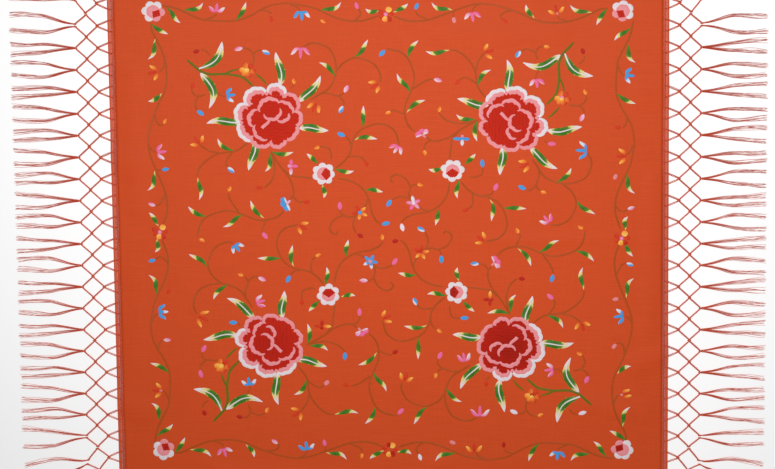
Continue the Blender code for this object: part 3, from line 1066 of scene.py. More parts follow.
def bloom(works, row, place):
    """A little flower from the side: a fan of slim petals, the outer ones arched and pale inside.

    The figures after its silk's name say which of its petals are white. An orange flower with a 1 has
    no pink base, and one with a 2 is nearly closed."""
    base, tip = charted(row.base_x, row.base_y, place), charted(row.tip_x, row.tip_y, place)
    run = tip - base
    length = max(0.96 * hypot(*run), SHORTEST_PETAL)
    heading = atan2(run[1], run[0]) + radians(row.turns[place.quarter])
    word = row.silks.split()[place.quarter]
    name = word.rstrip("012")
    figures = word[len(name):]
    orange = name == "orange"
    tone = TONES[name]
    spread = radians(row.spread) * (CLOSED_SPREAD if orange and "2" in figures else 1.0)
    for i in range(BLOOM_PETALS):
        share = i / (BLOOM_PETALS - 1) - 0.5
        outer = share != 0
        if orange:
            look = ORANGE_TONES[outer]
        elif str(i) in figures:
            look = WHITE_TONES[name]
        else:
            look = OUTER_TONES[name] if outer else PetalTone(tone.start, tone.end, 0)
        petal(works[tone.piece], base, heading + spread * share,
              length * (OUTER_PETAL if outer else MIDDLE_PETAL),
              PETAL_HALF_WIDTH * (1.0 if outer else MIDDLE_PETAL), (look.start, look.end),
              BASE_LIFT + PETAL_STEP * (not outer), OUTER_SAG * share, OUTER_CURL * share,
              -look.pale * np.sign(share))
    if not orange:
        # The cup that its petals grow from
        ahead = polar(length, heading)
        oval(works[tone.piece], base - ahead * 0.04, base + ahead * 0.42, 1.9 * PIXEL,
             (tone.start, tone.start + 0.1))
    elif place.border and "1" not in figures:
        back = unit(run) * PIXEL
        oval(works["pink"], base - back * 2.6, base + back * 1.2, 1.2 * PIXEL, (0.98, 1.0), count=7)


# A closed flower, in pixels of the chart: the base and tip of each petal, its half width, and its
# colours in the blue flower of the first quarter and in the pink ones, which are smaller. Its last
# petal is pink in both
ClosedPetal = namedtuple("ClosedPetal", "base_x base_y tip_x tip_y half in_blue in_pink")
CLOSED_MIDDLE = np.array((286.0, 204.0))
CLOSED_FLOWER = (
    ClosedPetal(281.6, 197.0, 284.4, 202.8, 2.6, (0.0, 0.40), (0.40, 0.72)),
    ClosedPetal(281.6, 201.2, 283.8, 207.2, 2.6, (0.0, 0.40), (0.0, 0.30)),
    ClosedPetal(283.8, 205.6, 288.6, 211.2, 2.4, (0.0, 0.40), (0.15, 0.45)),
    ClosedPetal(284.2, 196.8, 287.0, 203.8, 1.0, (0.62, 0.88), (0.70, 0.86)),
    ClosedPetal(286.8, 203.4, 290.2, 211.0, 1.3, (0.70, 1.0), (0.52, 0.80)),
    ClosedPetal(286.6, 203.8, 290.8, 199.6, 1.5, (0.62, 0.48), (0.97, 1.0)),
)


BLUE_SIZE = 0.94
PINK_SIZE = 0.86


def closed_flower(works, place):
    blue = place.quarter == 0
    size = BLUE_SIZE if blue else PINK_SIZE
    for i, row in enumerate(CLOSED_FLOWER):
        ends = np.array(((row.base_x, row.base_y), (row.tip_x, row.tip_y)))
        base, tip = (charted(*end, place) for end in CLOSED_MIDDLE + (ends - CLOSED_MIDDLE) * size)
        silk = "blue" if blue and row is not CLOSED_FLOWER[-1] else "pink"
        oval(works[silk], base, tip, row.half * size * PIXEL, row.in_blue if blue else row.in_pink,
             BASE_LIFT + PETAL_STEP * i, split=0.3)


def star(works, row, place):
    """An open flower with a round heart."""
    middle = charted(row.x, row.y, place)
    silk = row.quarters[place.quarter]
    for i, (reach, colours) in enumerate(zip(row.reaches, silk.petals)):
        angle = radians(row.turn - 360 / len(row.reaches) * i - 90 * place.quarter)
        petal(works[silk.piece], middle, angle, reach * PIXEL, PETAL_HALF_WIDTH, colours,
              BASE_LIFT + PETAL_STEP / 2 * i)
    if silk.heart:
        round_patch(works[silk.heart], middle + step_of(silk.right, silk.down),
                    np.full(12, silk.size * PIXEL), 0.0006, 0.0010, silk.colours)


# A round petal of a cluster: pixels right and down from the cluster's middle, its half width, and
# the share of the warm silk's colours at its start and end
RoundPetal = namedtuple("RoundPetal", "right down half start end")
SPRAY_PETALS = (
    RoundPetal(-1.6, -3.7, 2.9, 0.66, 0.30),
    RoundPetal(3.5, -2.8, 2.8, 0.16, 0.30),
    RoundPetal(5.9, 1.8, 2.6, 0.60, 0.26),
    RoundPetal(1.8, 5.0, 2.7, 0.62, 0.26),
    RoundPetal(-2.7, 4.8, 2.5, 0.70, 0.34),
    RoundPetal(-4.7, 0.8, 2.8, 0.86, 0.44),
    RoundPetal(-0.2, 1.0, 2.4, 0.96, 0.66),
)
BORDER_PETALS = (
    RoundPetal(-4.9, -2.2, 2.6, 0.24, 0.14),
    RoundPetal(-4.2, 2.4, 2.4, 0.30, 0.20),
    RoundPetal(5.4, -0.2, 2.4, 0.44, 0.20),
    RoundPetal(3.2, 4.8, 2.6, 0.20, 0.10),
    RoundPetal(-0.6, 4.6, 2.9, 0.90, 0.50),
    RoundPetal(3.0, -4.7, 3.0, 0.94, 0.56),
)
DARK_PETALS = (
    RoundPetal(-0.4, -5.2, 2.3, 0.08, 0.0),
    RoundPetal(3.1, 3.1, 2.3, 0.08, 0.0),
)
# Each cluster's middle in the photo's pixels, its petals, and the silk and tone of its heart
Cluster = namedtuple("Cluster", "px py petals heart tone")
CLUSTERS = (
    Cluster(247, 69.2, SPRAY_PETALS, "", 0),
    Cluster(562, 97.5, SPRAY_PETALS, "pink", 0.40),
    Cluster(532, 395, SPRAY_PETALS, "warm", 0.04),
    Cluster(221.5, 365, SPRAY_PETALS, "", 0),
    Cluster(385.7, 14.1, BORDER_PETALS, "pink", 0.38),
    Cluster(621.7, 238, BORDER_PETALS, "pink", 0.38),
    Cluster(389.5, 449.8, BORDER_PETALS + DARK_PETALS, "", 0),
    Cluster(159.8, 231.9, BORDER_PETALS, "pink", 0.38),
)


ROUND_PETAL_LENGTH = 1.08
ROUND_PETAL_STEP = 0.00015
CLUSTER_HEART = 2.1 * PIXEL


def cluster(works, row):
    """A bunch of round petals in mixed warm silks."""
    middle = from_photo(row.px, row.py)
    for i, part in enumerate(row.petals):
        at = step_of(part.right, part.down)
        outward = unit(at) * part.half * PIXEL * ROUND_PETAL_LENGTH
        oval(works["warm"], middle + at - outward, middle + at + outward, part.half * PIXEL,
             (part.start, part.end), BASE_LIFT + ROUND_PETAL_STEP * i, split=0.4)
    if row.heart:
        round_patch(works[row.heart], middle, np.full(14, CLUSTER_HEART), 0.0007, 0.0012,
                    (row.tone, row.tone + 0.1))


# The large flowers. A lobe of a rose runs from one cusp to the next, in degrees anticlockwise from
# the right for the top left quarter. Its cusps and its reach are shares of the rose's radius, and
# it has so many small swells
Lobe = namedtuple("Lobe", "start end start_cusp end_cusp reach swells white")
ROSE_RADIUS = 34.5 * PIXEL
ROSE_LOBES = (
    Lobe(146, 191, 0.76, 0.89, 1.02, 3, True),
    Lobe(191, 235, 0.88, 0.89, 1.03, 3, True),
    Lobe(94, 150, 0.80, 0.72, 1.03, 4, True),
    Lobe(54, 94, 0.87, 0.80, 1.08, 3, True),
    Lobe(226, 272, 0.76, 0.82, 0.985, 3, False),
    Lobe(270, 306, 0.74, 0.86, 0.99, 3, False),
    Lobe(306, 343, 0.88, 0.88, 0.98, 2, False),
    Lobe(341, 377, 0.86, 0.79, 0.99, 2, False),
    Lobe(15, 59, 0.87, 0.77, 1.05, 4, False),
)
FIELD_SHARE = 0.92

# Pink edges of the inner petals: arcs about a point, in shares of the rose's radius and degrees,
# with how many small swells they have and their width in pixels
InnerEdge = namedtuple("InnerEdge", "x y start end radius swells width")
INNER_EDGES = (
    InnerEdge(0.05, 0.24, 192, 38, 0.325, 4, 3.9),
    InnerEdge(0.38, 0.15, 108, -4, 0.32, 3, 3.4),
    InnerEdge(-0.28, -0.05, 98, 234, 0.29, 3, 3.8),
    InnerEdge(-0.10, -0.35, 157, 278, 0.33, 3, 3.2),
    InnerEdge(0.085, 0.20, 203, 377, 0.255, 3, 3.2),
    InnerEdge(0.37, 0.09, 230, 370, 0.21, 2, 3.2),
)
HEART_BAR = ((0.02, -0.07), (-0.20, -0.32))
HEART_BAR_HALF_WIDTH = 1.7 * PIXEL
SWELL = 0.028
INWARD_LEAN = 0.8
# How far along the red ramp the flowers of each quarter lie: the lower ones are darker
RED_TONES = ((0.05, 0.25), (0.10, 0.30), (0.45, 1.0), (0.20, 0.62))
# A rose's bands: the width of a white rim, of the pink under it and of a red lobe's pink rim, the
# half widths of the pink wedge at a white lobe's cusp, and how high they lie and rise
WHITE_WIDTH = 4.3 * PIXEL
PINK_WIDTH = 3.9 * PIXEL
RIM_WIDTH = 4.1 * PIXEL
UNDER_WHITE = 0.78
WEDGE = np.array((1.0, 1.6, 2.0, 2.0, 1.6, 1.0, 0.3)) * PIXEL
WEDGE_LENGTH = 4.5
WEDGE_CROWN = 0.0007
BAND_LIFT = 0.0010
BAND_STEP = 0.00006
RIM_STEP = 0.0001
BAND_CROWN = 0.0008
RIM_CROWN = 0.0009


def swell(u, swells, low):
    """Small swells along an edge, as a share of the rose's radius."""
    return SWELL * (np.abs(np.sin(swells * pi * u)) ** 0.8 - low)


def lobe_edge(lobe, count):
    """The outline of a lobe as points, in shares of the rose's radius."""
    u = np.linspace(0, 1, count)
    angle = np.radians(lobe.start + (lobe.end - lobe.start) * u)
    cusp = lobe.start_cusp + (lobe.end_cusp - lobe.start_cusp) * u
    radius = cusp + (lobe.reach - cusp) * np.sin(pi * u) ** 0.52
    return polar(radius + swell(u, lobe.swells, 0.6) * np.sin(pi * u) ** 0.5, angle)


def edge_band(work, edge, middle, outer, inner, crown, lift, silk, seed):
    """A band along a lobe's edge, between two distances inside it, with a ragged inner side. Its
    threads lean toward the flower's middle, so that they fan out at the cusps."""
    inward = unit(left_of(edge) + INWARD_LEAN * unit(middle - edge))
    half = (inner - outer) / 2
    ragged = half * (1 + 0.15 * scatter(seed, len(edge)))
    spine = edge + inward * ((outer + inner) / 2)[:, None]
    stitch(work, spine, ragged, half, crown, lift=lift, silk=silk, sideways=inward)


def rose(quarter, silks):
    """A full rose: a red padded field, white and pink bands on its lobes, and pink inner edges."""
    name = f"rose_{quarter + 1}"
    work = Needlework(name + "_stitches", [silks["rose_red"], silks["rose_pink"], silks["rose_white"]])
    pink, white = 1, 2
    middle = turned(ROSE_AT, quarter)
    angles = np.linspace(0, 360, 180, endpoint=False)
    radii = np.zeros(len(angles))
    for lobe in ROSE_LOBES:
        edge = lobe_edge(lobe, 48)
        bearing = np.degrees(np.unwrap(np.arctan2(edge[:, 1], edge[:, 0])))
        for cycle in (-360, 0, 360):
            found = np.interp(angles, bearing + cycle, np.hypot(*edge.T), left=0, right=0)
            radii = np.maximum(radii, found)
    round_patch(work, middle, ROSE_RADIUS * FIELD_SHARE * radii, BAND_CROWN, tone=RED_TONES[quarter],
                turn=radians(-90 * quarter), rows=True)
    for k, lobe in enumerate(ROSE_LOBES):
        edge = middle + turned(lobe_edge(lobe, 64) * ROSE_RADIUS, quarter)
        fade = 0.60 + 0.40 * np.sin(pi * np.linspace(0, 1, len(edge))) ** 0.5
        lift = BAND_LIFT + BAND_STEP * k
        if lobe.white:
            inward = unit(middle - edge[0]) * PIXEL
            path = bent_path(edge[0] + inward, edge[0] + inward * WEDGE_LENGTH, len(WEDGE))
            stitch(work, path, WEDGE, WEDGE, WEDGE_CROWN, lay="along", lift=BAND_LIFT, silk=pink)
            rim = WHITE_WIDTH * fade
            edge_band(work, edge, middle, rim * UNDER_WHITE, rim + PINK_WIDTH, BAND_CROWN, lift, pink, 50 + k)
            edge_band(work, edge, middle, 0.0, rim, RIM_CROWN, lift + RIM_STEP, white, 10 * quarter + k)
        else:
            edge_band(work, edge, middle, 0.0, RIM_WIDTH * fade**0.5, RIM_CROWN, lift, pink, 100 + k)
    for k, arc in enumerate(INNER_EDGES):
        u = np.linspace(0, 1, 56)
        angle = np.radians(arc.start + (arc.end - arc.start) * u)
        local = (arc.x, arc.y) + polar(arc.radius + swell(u, arc.swells, 0.5), angle)
        path = middle + turned(local * ROSE_RADIUS, quarter)
        half = 1.08 * arc.width / 2 * PIXEL * np.sin(pi * np.clip(u, 0.03, 0.97)) ** 0.45
        ragged = half * (1 + 0.18 * scatter(200 + k, len(u)))
        stitch(work, path, ragged, half, BAND_CROWN, lift=BAND_LIFT, silk=pink)
    start, end = middle + turned(np.array(HEART_BAR) * ROSE_RADIUS, quarter)
    half = HEART_BAR_HALF_WIDTH * np.linspace(0.8, 1.0, 16)
    stitch(work, bent_path(start, end, len(half), 0.04, 0.03), half, half, BAND_CROWN, lift=BAND_LIFT,
           silk=pink)
    return work.finish("embroidery_red", (name,))


# A small round flower: its reach in pixels, its lobes and the degrees of the first one, the half
# width of a lobe as a share of its reach, how many of its last lobes are pink, and the corners of
# its red heart, in pixels right and up of its middle for the top left quarter
LobedFlower = namedtuple("LobedFlower", "kind at reach lobes turn lobe_half pink heart")
LOBED_FLOWERS = (
    LobedFlower("middle_flower", MIDDLE_FLOWER_AT, 11.9, 7, 98, 0.345, 0,
                ((-2.6, -0.4), (1.6, 6.2), (6.4, 3.2), (6.9, -2.4), (2.6, -7.0))),
    LobedFlower("corner_flower", CORNER_FLOWER_AT, 11.5, 6, 55, 0.385, 2,
                ((-0.9, 0.2), (6.2, 2.2), (7.1, -4.1), (-0.2, -6.4))),
)
# The radius of its pink disc, the heights of its disc, heart and lobes, and where its lobes start
HEART_DISC = 6.8 * PIXEL
DISC_CROWN = 0.0007
DISC_LIFT = 0.0011
HEART_CROWN = 0.0006
HEART_LIFT = 0.0018
LOBE_CROWN = 0.0011
LOBE_STEP = 0.00008
LOBE_FROM = 0.40


def lobed_flower(row, quarter, silks):
    """Rounded lobes with gaps between, a pink disc and a notched red heart."""
    name = f"{row.kind}_{quarter + 1}"
    work = Needlework(name + "_stitches", [silks["rose_white"], silks["rose_pink"], silks["rose_red"]])
    white, pink, red = range(3)
    middle = turned(row.at, quarter)
    reach = row.reach * PIXEL
    sizes = 1 + 0.05 * scatter(row.lobes * 7 + quarter, row.lobes)
    u = np.linspace(0, 1, PETAL_ROWS)
    half = reach * row.lobe_half * (0.55 + 0.45 * np.sin(pi * u) ** 0.5) * (1 - u**4) ** 0.5
    for i in range(row.lobes):
        angle = radians(row.turn + 360 / row.lobes * i - 90 * quarter)
        base, tip = (middle + polar(reach * share, angle) for share in (LOBE_FROM, sizes[i]))
        stitch(work, bent_path(base, tip, PETAL_ROWS), half, half, LOBE_CROWN, lay="along",
               lift=BASE_LIFT + LOBE_STEP * (i % 2), silk=pink if i >= row.lobes - row.pink else white)
    around = np.linspace(0, 2 * pi, 48, endpoint=False)
    disc = HEART_DISC * (1 + 0.02 * np.cos(7 * around))
    round_patch(work, middle, disc, DISC_CROWN, DISC_LIFT, silk=pink)
    corners = np.array(row.heart)
    centre = corners.mean(axis=0)
    t = np.linspace(0, 1, 12, endpoint=False)[None, :, None]
    edge = corners[:, None] * (1 - t) + np.roll(corners, -1, axis=0)[:, None] * t
    edge = edge.reshape(-1, 2) - centre
    bearing = np.arctan2(edge[:, 1], edge[:, 0])
    heart = np.interp(around, bearing, np.hypot(*edge.T), period=2 * pi) * (1 + 0.05 * np.cos(12 * around))
    round_patch(work, middle + turned(centre * PIXEL, quarter), heart * PIXEL, HEART_CROWN, HEART_LIFT,
                tone=RED_TONES[quarter], turn=radians(-90 * quarter), silk=red)
    return work.finish("embroidery_white", (name,))


# The pieces of small stitches: the silk, the name and the slot of each
SMALL_PIECES = (
    ("leaf", "embroidery_leaves", "embroidery_green"),
    ("big_leaf", "embroidery_spray_leaves", "embroidery_green"),
    ("rib", "embroidery_leaf_ribs", "embroidery_green"),
    ("vine", "embroidery_vines", "embroidery_green"),
    ("stem", "embroidery_stems", "embroidery_green"),
    ("blue", "embroidery_blue_petals", "embroidery_mixed"),
    ("pink", "embroidery_pink_petals", "embroidery_mixed"),
    ("warm", "embroidery_warm_petals", "embroidery_mixed"),
)
VINE_CROWN = 0.0004
STEM_CROWN = 0.0007
SIDE_STEM = 0.75
BORDER_SEEDS = 50


def embroider(silks):
    """The whole embroidery, one piece for each kind of silk and one for each large flower."""
    works = {silk: Needlework(name, [silks[silk]]) for silk, name, _ in SMALL_PIECES}
    charts = ((VINES, LEAVES, BUDS, BLOOMS), (BORDER_VINES, BORDER_LEAVES, BORDER_BUDS, BORDER_BLOOMS))
    for quarter in range(4):
        inside = Place(quarter, False)
        for i, stem in enumerate(STEMS):
            stalk(works["stem"], stem, inside, STEM_HALF_WIDTH * (SIDE_STEM if i else 1.0), STEM_CROWN)
        for i, row in enumerate(BIG_LEAVES):
            big_leaf(works["big_leaf"], works["rib"], row, inside, 10 * quarter + i)
        for border, (vines, leaves, buds, blooms) in enumerate(charts):
            place = Place(quarter, bool(border))
            for vine in vines:
                stalk(works["vine"], vine, place, VINE_HALF_WIDTH, VINE_CROWN)
            for i, row in enumerate(leaves):
                small_leaf(works["leaf"], row, place, 100 * quarter + BORDER_SEEDS * border + i)
            for row in buds:
                bud(works, row, place, vines)
            for row in blooms:
                bloom(works, row, place)
        for row in STARS:
            star(works, row, inside)
        closed_flower(works, inside)
    for row in CLUSTERS:
        cluster(works, row)
    pieces = [works[silk].finish(slot) for silk, _, slot in SMALL_PIECES]
    for quarter in range(4):
        pieces.append(rose(quarter, silks))
        pieces += [lobed_flower(row, quarter, silks) for row in LOBED_FLOWERS]
    return pieces


# Cloth, hems and fringe
PANEL_CELLS = 170


def silk_panel(silks):
    bpy.ops.mesh.primitive_grid_add(x_subdivisions=PANEL_CELLS, y_subdivisions=PANEL_CELLS,
                                    size=2 * PANEL_HALF)
    panel = bpy.context.object
    panel.name = panel.data.name = "silk_cloth"
    flat = np.zeros(len(panel.data.vertices) * 3)
    panel.data.vertices.foreach_get("co", flat)
    points = flat.reshape(-1, 3)
    points[:, 2] = underside(points)
    panel.data.vertices.foreach_set("co", points.ravel())
    panel.data.shade_smooth()
    wall = panel.modifiers.new("wall", "SOLIDIFY")
    wall.thickness = WALL
    wall.offset = 1.0
    panel.data.materials.append(silks["crepe"])
    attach(panel, "root")
    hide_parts("silk_panel")
    return panel


def side_points(quarter, t, n, z):
    """World points of arrays t along the side, n outward and z up."""
    return at_height(turned(pairs(t, n), quarter), z)


YARN_GIRTH = 0.002


def tube(work, path, radii, sides, twist):
    """A closed cord along a path of points, with its radius, or its radius at each of them. twist is
    how far along its threads shift in a turn round it."""
    run = unit(np.gradient(path, axis=0))
    side = unit(np.cross(run, (0.0, 0.0, 1.0)))
    up = np.cross(side, run)
    around = np.linspace(0, 2 * pi, sides, endpoint=False) + pi / 2
    ring = np.cos(around)[:, None] * side[:, None, :] + np.sin(around)[:, None] * up[:, None, :]
    points = path[:, None, :] + ring * np.broadcast_to(radii, len(path))[:, None, None]
    s = arc_length(path)[:, None]
    turn = np.arange(sides) / sides
    thread = pairs(s + twist * turn, YARN_GIRTH * turn)
    work.add(points, pairs(s / s[-1], turn), thread, ring_faces(len(path), sides))


def half_round(start, width, count):
    """The angles round a half round strip, and how far out each of them lies."""
    facets = np.linspace(0, pi, count)
    return facets, start + width / 2 * (1 - np.cos(facets))


def roll(work, quarter, along, n, z, lean, girth):
    """A half round strip along a side of the shawl: its places along the side, outward and up. For
    each radian round it, its threads lean back by lean, and it is girth wide."""
    facets = np.linspace(0, pi, len(n))
    thread = pairs(along - lean * facets, girth * facets)
    shape = pairs(along + SIDE / 2, facets / pi)
    work.add(side_points(quarter, along, n, z), shape, thread, grid_faces(*z.shape))


# The hem's roll: its rows and columns of points, and the share of its solid's height that it has
ROLL_ROWS = 171
ROLL_COLUMNS = 8
ROLL_SHARE = 0.97
# Whip stitches: from one to the next, how far each leans, its radius, and how far from a corner
WHIP_PITCH = 0.0052
WHIP_LEAN = 0.0022
WHIP_RADIUS = 0.00022
WHIP_MARGIN = 0.004


def rolled_hem(quarter, silks):
    """The rolled edge, with a whip stitch every few millimetres."""
    work = Needlework(f"hem_{SIDES[quarter]}_roll", [silks["hem"]])
    inner = PANEL_HALF + SEAM
    facets, n = half_round(inner, HEM_WIDTH, ROLL_COLUMNS)
    t = np.linspace(-PANEL_HALF, PANEL_HALF, ROLL_ROWS)
    wobble = 1 + 0.05 * np.sin(41 * t + quarter) * np.sin(17 * t)
    along = np.tile(t[:, None], len(n))
    mitre = n - SEAM / 2 * 2**0.5
    along[0], along[-1] = -mitre, mitre
    z = edge_height(quarter, t)[:, None] + HEM_HEIGHT * ROLL_SHARE * np.sin(facets) * wobble[:, None]
    roll(work, quarter, along, n, z, 0.0012, 0.002)
    arch = np.linspace(0.10 * pi, 0.90 * pi, 6)
    for start in np.arange(-PANEL_HALF + WHIP_MARGIN, PANEL_HALF - WHIP_MARGIN, WHIP_PITCH):
        at = start + WHIP_LEAN * arch / pi
        across = inner + HEM_WIDTH / 2 * (1 - 1.05 * np.cos(arch))
        rise = edge_height(quarter, at) + HEM_HEIGHT * ROLL_SHARE * np.sin(arch)
        tube(work, side_points(quarter, at, across, rise), WHIP_RADIUS, 3, 0.001)
    return work.finish("silk_crepe", (f"hem_{SIDES[quarter]}",))


# Reach of each row of knots from the strip, as in the solids
KNOT_ROWS = (0.024, 0.050, 0.076)
STRANDS_A_LOCK = 9
NET_SWING = PITCH / 2 - 0.0014
END_SWING = 0.35
MEETING_GAP = 0.0050
KNOT_LENGTH = 0.0085
KNOT_RADIUS = 0.0021
KNOT_HEIGHT = 0.0018
TIP_REACH = 0.229


def fan_of(root):
    """How far a lock at this place along the side leans toward the corner."""
    lean = max(0.0, (abs(root) - FAN_STARTS) / (SIDE / 2 - FAN_STARTS)) ** FAN_CURVE
    return FAN_ANGLE * lean * (1 if root > 0 else -1)


def leaned(quarter, root, reach, sideways, z):
    """World points of a lock: reach outward from the strip and sideways along the side."""
    reach, sideways = np.broadcast_arrays(np.asarray(reach, float), np.asarray(sideways, float))
    angle = fan_of(root) * np.minimum(1.0, np.maximum(reach, 0.0) / FAN_RAMP)
    t = root + reach * np.sin(angle) + sideways * np.cos(angle)
    n = SIDE / 2 + SEAM + STRIP_WIDTH + reach * np.cos(angle) - sideways * np.sin(angle)
    return side_points(quarter, t, n, z)


def knot(work, centre, toward):
    """A small tight knot: an egg-shaped bead of wound yarn."""
    u = np.linspace(-1, 1, 7)
    path = centre + toward * (u * KNOT_LENGTH / 2)[:, None]
    tube(work, path, KNOT_RADIUS * np.sqrt(1 - 0.92 * u**2), 6, 0.004)


def net_shifts(index):
    """How far a lock swings sideways to its neighbours, at the strip and at each row of knots."""
    toward = 1 if index % 2 == 0 else -1
    shifts = np.array((0.0, toward, -toward, toward)) * NET_SWING
    if index + (toward < 0) in (0, LOCKS_A_SIDE):
        shifts[2] *= END_SWING
    return shifts


def net_knots(work, quarter, roots, index):
    """A lock's knots. Two locks share one, unless they lean too far apart to meet."""
    rise = float(edge_height(quarter, roots[index]))
    for row, reach in enumerate(KNOT_ROWS):
        z = CLEAR_OF_FLOOR + KNOT_HEIGHT + rise * max(0.0, 1 - reach / FAN_RAMP)
        along = np.array((reach - 0.001, reach + 0.001))
        shift = net_shifts(index)[row + 1]
        ends = leaned(quarter, roots[index], along, np.full(2, shift), z)
        partner = index + (1 if shift > 0 else -1)
        if 0 <= partner < LOCKS_A_SIDE:
            others = leaned(quarter, roots[partner], along, np.full(2, -shift), z)
            if np.linalg.norm(ends[0] - others[0]) < MEETING_GAP:
                if partner < index:
                    continue
                ends = (ends + others) / 2
        knot(work, ends.mean(axis=0), unit(ends[1] - ends[0]))


# The bound strip's rows and columns of points and its form, and the yarns' radius and twist
STRIP_ROWS = 260
STRIP_FACETS = 7
STRIP_SHARE = 0.86
STRIP_POWER = 0.6
YARN_RADIUS = 0.00085
LOOP_RADIUS = 0.00055
YARN_TWIST = 0.003
NET_STARTS = -0.004
# A lock's two yarns in the net: half the gap between them, how much it widens between knots, their
# height, and how far one crosses over the other
YARNS_APART = 0.0009
YARNS_BULGE = 0.0006
YARN_HEIGHT = 0.0013
YARN_CROSSING = 0.0002
# A lark's head: points outward from the cloth's edge, to one side of the lock's middle, and up
LOOP_OUT = np.array((0.0062, 0.0030, -0.0012, 0.0004 - HEM_WIDTH))
LOOP_APART = np.array((0.0011, 0.0012, 0.0009, 0.0004))
LOOP_UP = np.array((0.0024, 0.0027, HEM_HEIGHT + 0.0004, WALL + 0.0010))


def fringe(quarter, silks):
    """One side's fringe: a bound strip, lark's heads through the hem, a net of knots, loose ends."""
    work = Needlework(f"fringe_{SIDES[quarter]}_yarn", [silks["fringe"]])
    low = SIDE / 2 + SEAM
    roots = PITCH * (np.arange(LOCKS_A_SIDE) + 0.5) - SIDE / 2
    t = np.linspace(-SIDE / 2, SIDE / 2, STRIP_ROWS)
    facets, n = half_round(low, STRIP_WIDTH, STRIP_FACETS)
    z = edge_height(quarter, t)[:, None] + STRIP_HEIGHT * STRIP_SHARE * np.sin(facets) ** STRIP_POWER
    roll(work, quarter, t[:, None], n, z, 0.0008, 0.003)
    reaches = np.array((NET_STARTS,) + KNOT_ROWS)
    u = np.linspace(0, 1, 7)
    for index, root in enumerate(roots):
        shifts = net_shifts(index)
        rise = float(edge_height(quarter, root))
        for strand in (-1, 1):
            for a in range(len(KNOT_ROWS)):
                reach = reaches[a] + (reaches[a + 1] - reaches[a]) * u
                sideways = shifts[a] + (shifts[a + 1] - shifts[a]) * u
                sideways = sideways + strand * (YARNS_APART + YARNS_BULGE * np.sin(pi * u))
                drop = np.maximum(0, 1 - reach / FAN_RAMP)
                z = CLEAR_OF_FLOOR + YARN_HEIGHT + rise * drop + YARN_CROSSING * strand * np.cos(pi * u)
                tube(work, leaned(quarter, root, reach, sideways, z), YARN_RADIUS, 4, YARN_TWIST)
            loop = side_points(quarter, root + strand * LOOP_APART, low + LOOP_OUT, rise + LOOP_UP)
            tube(work, loop, LOOP_RADIUS, 4, YARN_TWIST)
        net_knots(work, quarter, roots, index)
        loose_ends(work, quarter, index, root, shifts[-1])
    return work.finish("fringe_silk", (f"fringe_{SIDES[quarter]}",))


# Loose strands: how far one may be longer or shorter, how far the lock spreads and each may stray,
# the size of its curls and how many it has, its radius, and its height at the tip and at the knot
TIP_DRIFT = 0.003
STRAND_SPREAD = 0.0052
STRAND_STRAY = 0.0022
CURL = 0.0016
CURLS = 1.6
STRAND_RADIUS = 0.00052
STRAND_HEIGHT = 0.0005
STRAND_DROP = 0.0011
STRAND_LIFT = 0.0004
SETTLED_AT = 0.55


def eased(u):
    """A share from 0 to 1 that starts and ends gently."""
    return u * u * (3 - 2 * u)


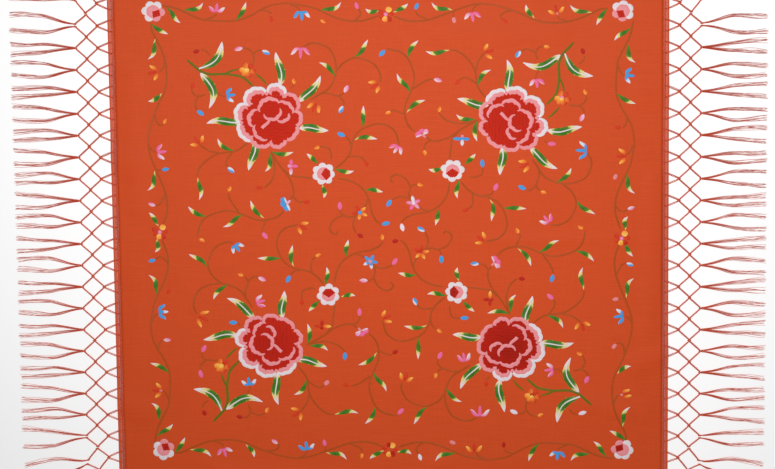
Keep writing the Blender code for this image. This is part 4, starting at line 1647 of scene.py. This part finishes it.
def loose_ends(work, quarter, index, root, start):
    """The strands of one lock below its last knot, spread a little and gently waved."""
    phase = LOCK_PHASE * index + SIDE_PHASE * quarter
    slip = scatter(1000 * quarter + index, STRANDS_A_LOCK * 4).reshape(4, -1)
    half = (STRANDS_A_LOCK - 1) / 2
    for k in range(STRANDS_A_LOCK):
        longer, stray, curls, turn = slip[:, k]
        reach = np.linspace(KNOT_ROWS[-1] + 0.002, TIP_REACH + TIP_DRIFT * longer, 13)
        u = (reach - reach[0]) / (reach[-1] - reach[0])
        settle = eased(np.clip(u / SETTLED_AT, 0, 1))
        wave = WAVE * np.sin(phase + 2 * pi * WAVES_PER_METRE * reach) * settle
        spread = (k - half) / half * STRAND_SPREAD * np.sqrt(u + 0.02) + STRAND_STRAY * stray * u
        curl = CURL * np.sin(2 * pi * (CURLS + 0.5 * curls) * u + 6 * turn) * eased(u)
        sideways = start * (1 - settle) + wave + spread + curl
        z = CLEAR_OF_FLOOR + STRAND_HEIGHT + STRAND_DROP * (1 - u) + STRAND_LIFT * abs(stray)
        tube(work, leaned(quarter, root, reach, sideways, z), STRAND_RADIUS * (1 - 0.35 * u), 3, 0.002)


# The floor, its colour and glow, the lamp, and the light of the room
FLOOR_SIZE = 120.0
FLOOR_DROP = 0.0002
FLOOR_COLOUR = (0.90, 0.90, 0.90, 1)
FLOOR_GLOW = 0.20
LAMP_AT = Vector((-0.12, 0.24, 2.38))
LAMP_AIM = Vector((0.63, 1.20, 0.0))
LAMP_SIZE = 1.10
LAMP_POWER = 53.0
WHITE = (1.0, 1.0, 1.0, 1.0)
ROOM_LIGHT = 0.25


def floor_material():
    g = Graph("pale_floor")
    colour = g.shade(FLOOR_COLOUR, g.noise(g.place(), 0.6), 0.985, 1.0)
    normal = g.bump(g.noise(g.place(), 400.0, 1.0), distance=0.0001, strength=0.05)
    g.shader.inputs["Emission Color"].default_value = WHITE
    g.shader.inputs["Emission Strength"].default_value = FLOOR_GLOW
    return g.finish(colour, 0.7, normal, specular=0.2)


def stage_and_light():
    bpy.ops.mesh.primitive_plane_add(size=FLOOR_SIZE, location=(0, 0, -FLOOR_DROP))
    floor = bpy.context.object
    floor.name = "floor"
    floor.data.materials.append(floor_material())
    data = bpy.data.lights.new("key", "AREA")
    data.size = LAMP_SIZE
    data.energy = LAMP_POWER
    lamp = bpy.data.objects.new("key", data)
    lamp.location = LAMP_AT
    lamp.rotation_euler = (LAMP_AIM - LAMP_AT).to_track_quat("-Z", "Y").to_euler()
    lamp.visible_camera = False
    bpy.context.scene.collection.objects.link(lamp)
    world = bpy.data.worlds.new("soft_room")
    world.use_nodes = True
    background = world.node_tree.nodes["Background"]
    background.inputs["Color"].default_value = WHITE
    background.inputs["Strength"].default_value = ROOM_LIGHT
    bpy.context.scene.world = world
    bpy.context.scene.view_settings.view_transform = "Standard"


def main():
    make_camera()
    silks = make_silks()
    panel = silk_panel(silks)
    hems = [rolled_hem(quarter, silks) for quarter in range(4)]
    fringes = [fringe(quarter, silks) for quarter in range(4)]
    stitches = embroider(silks)
    stage_and_light()


main()
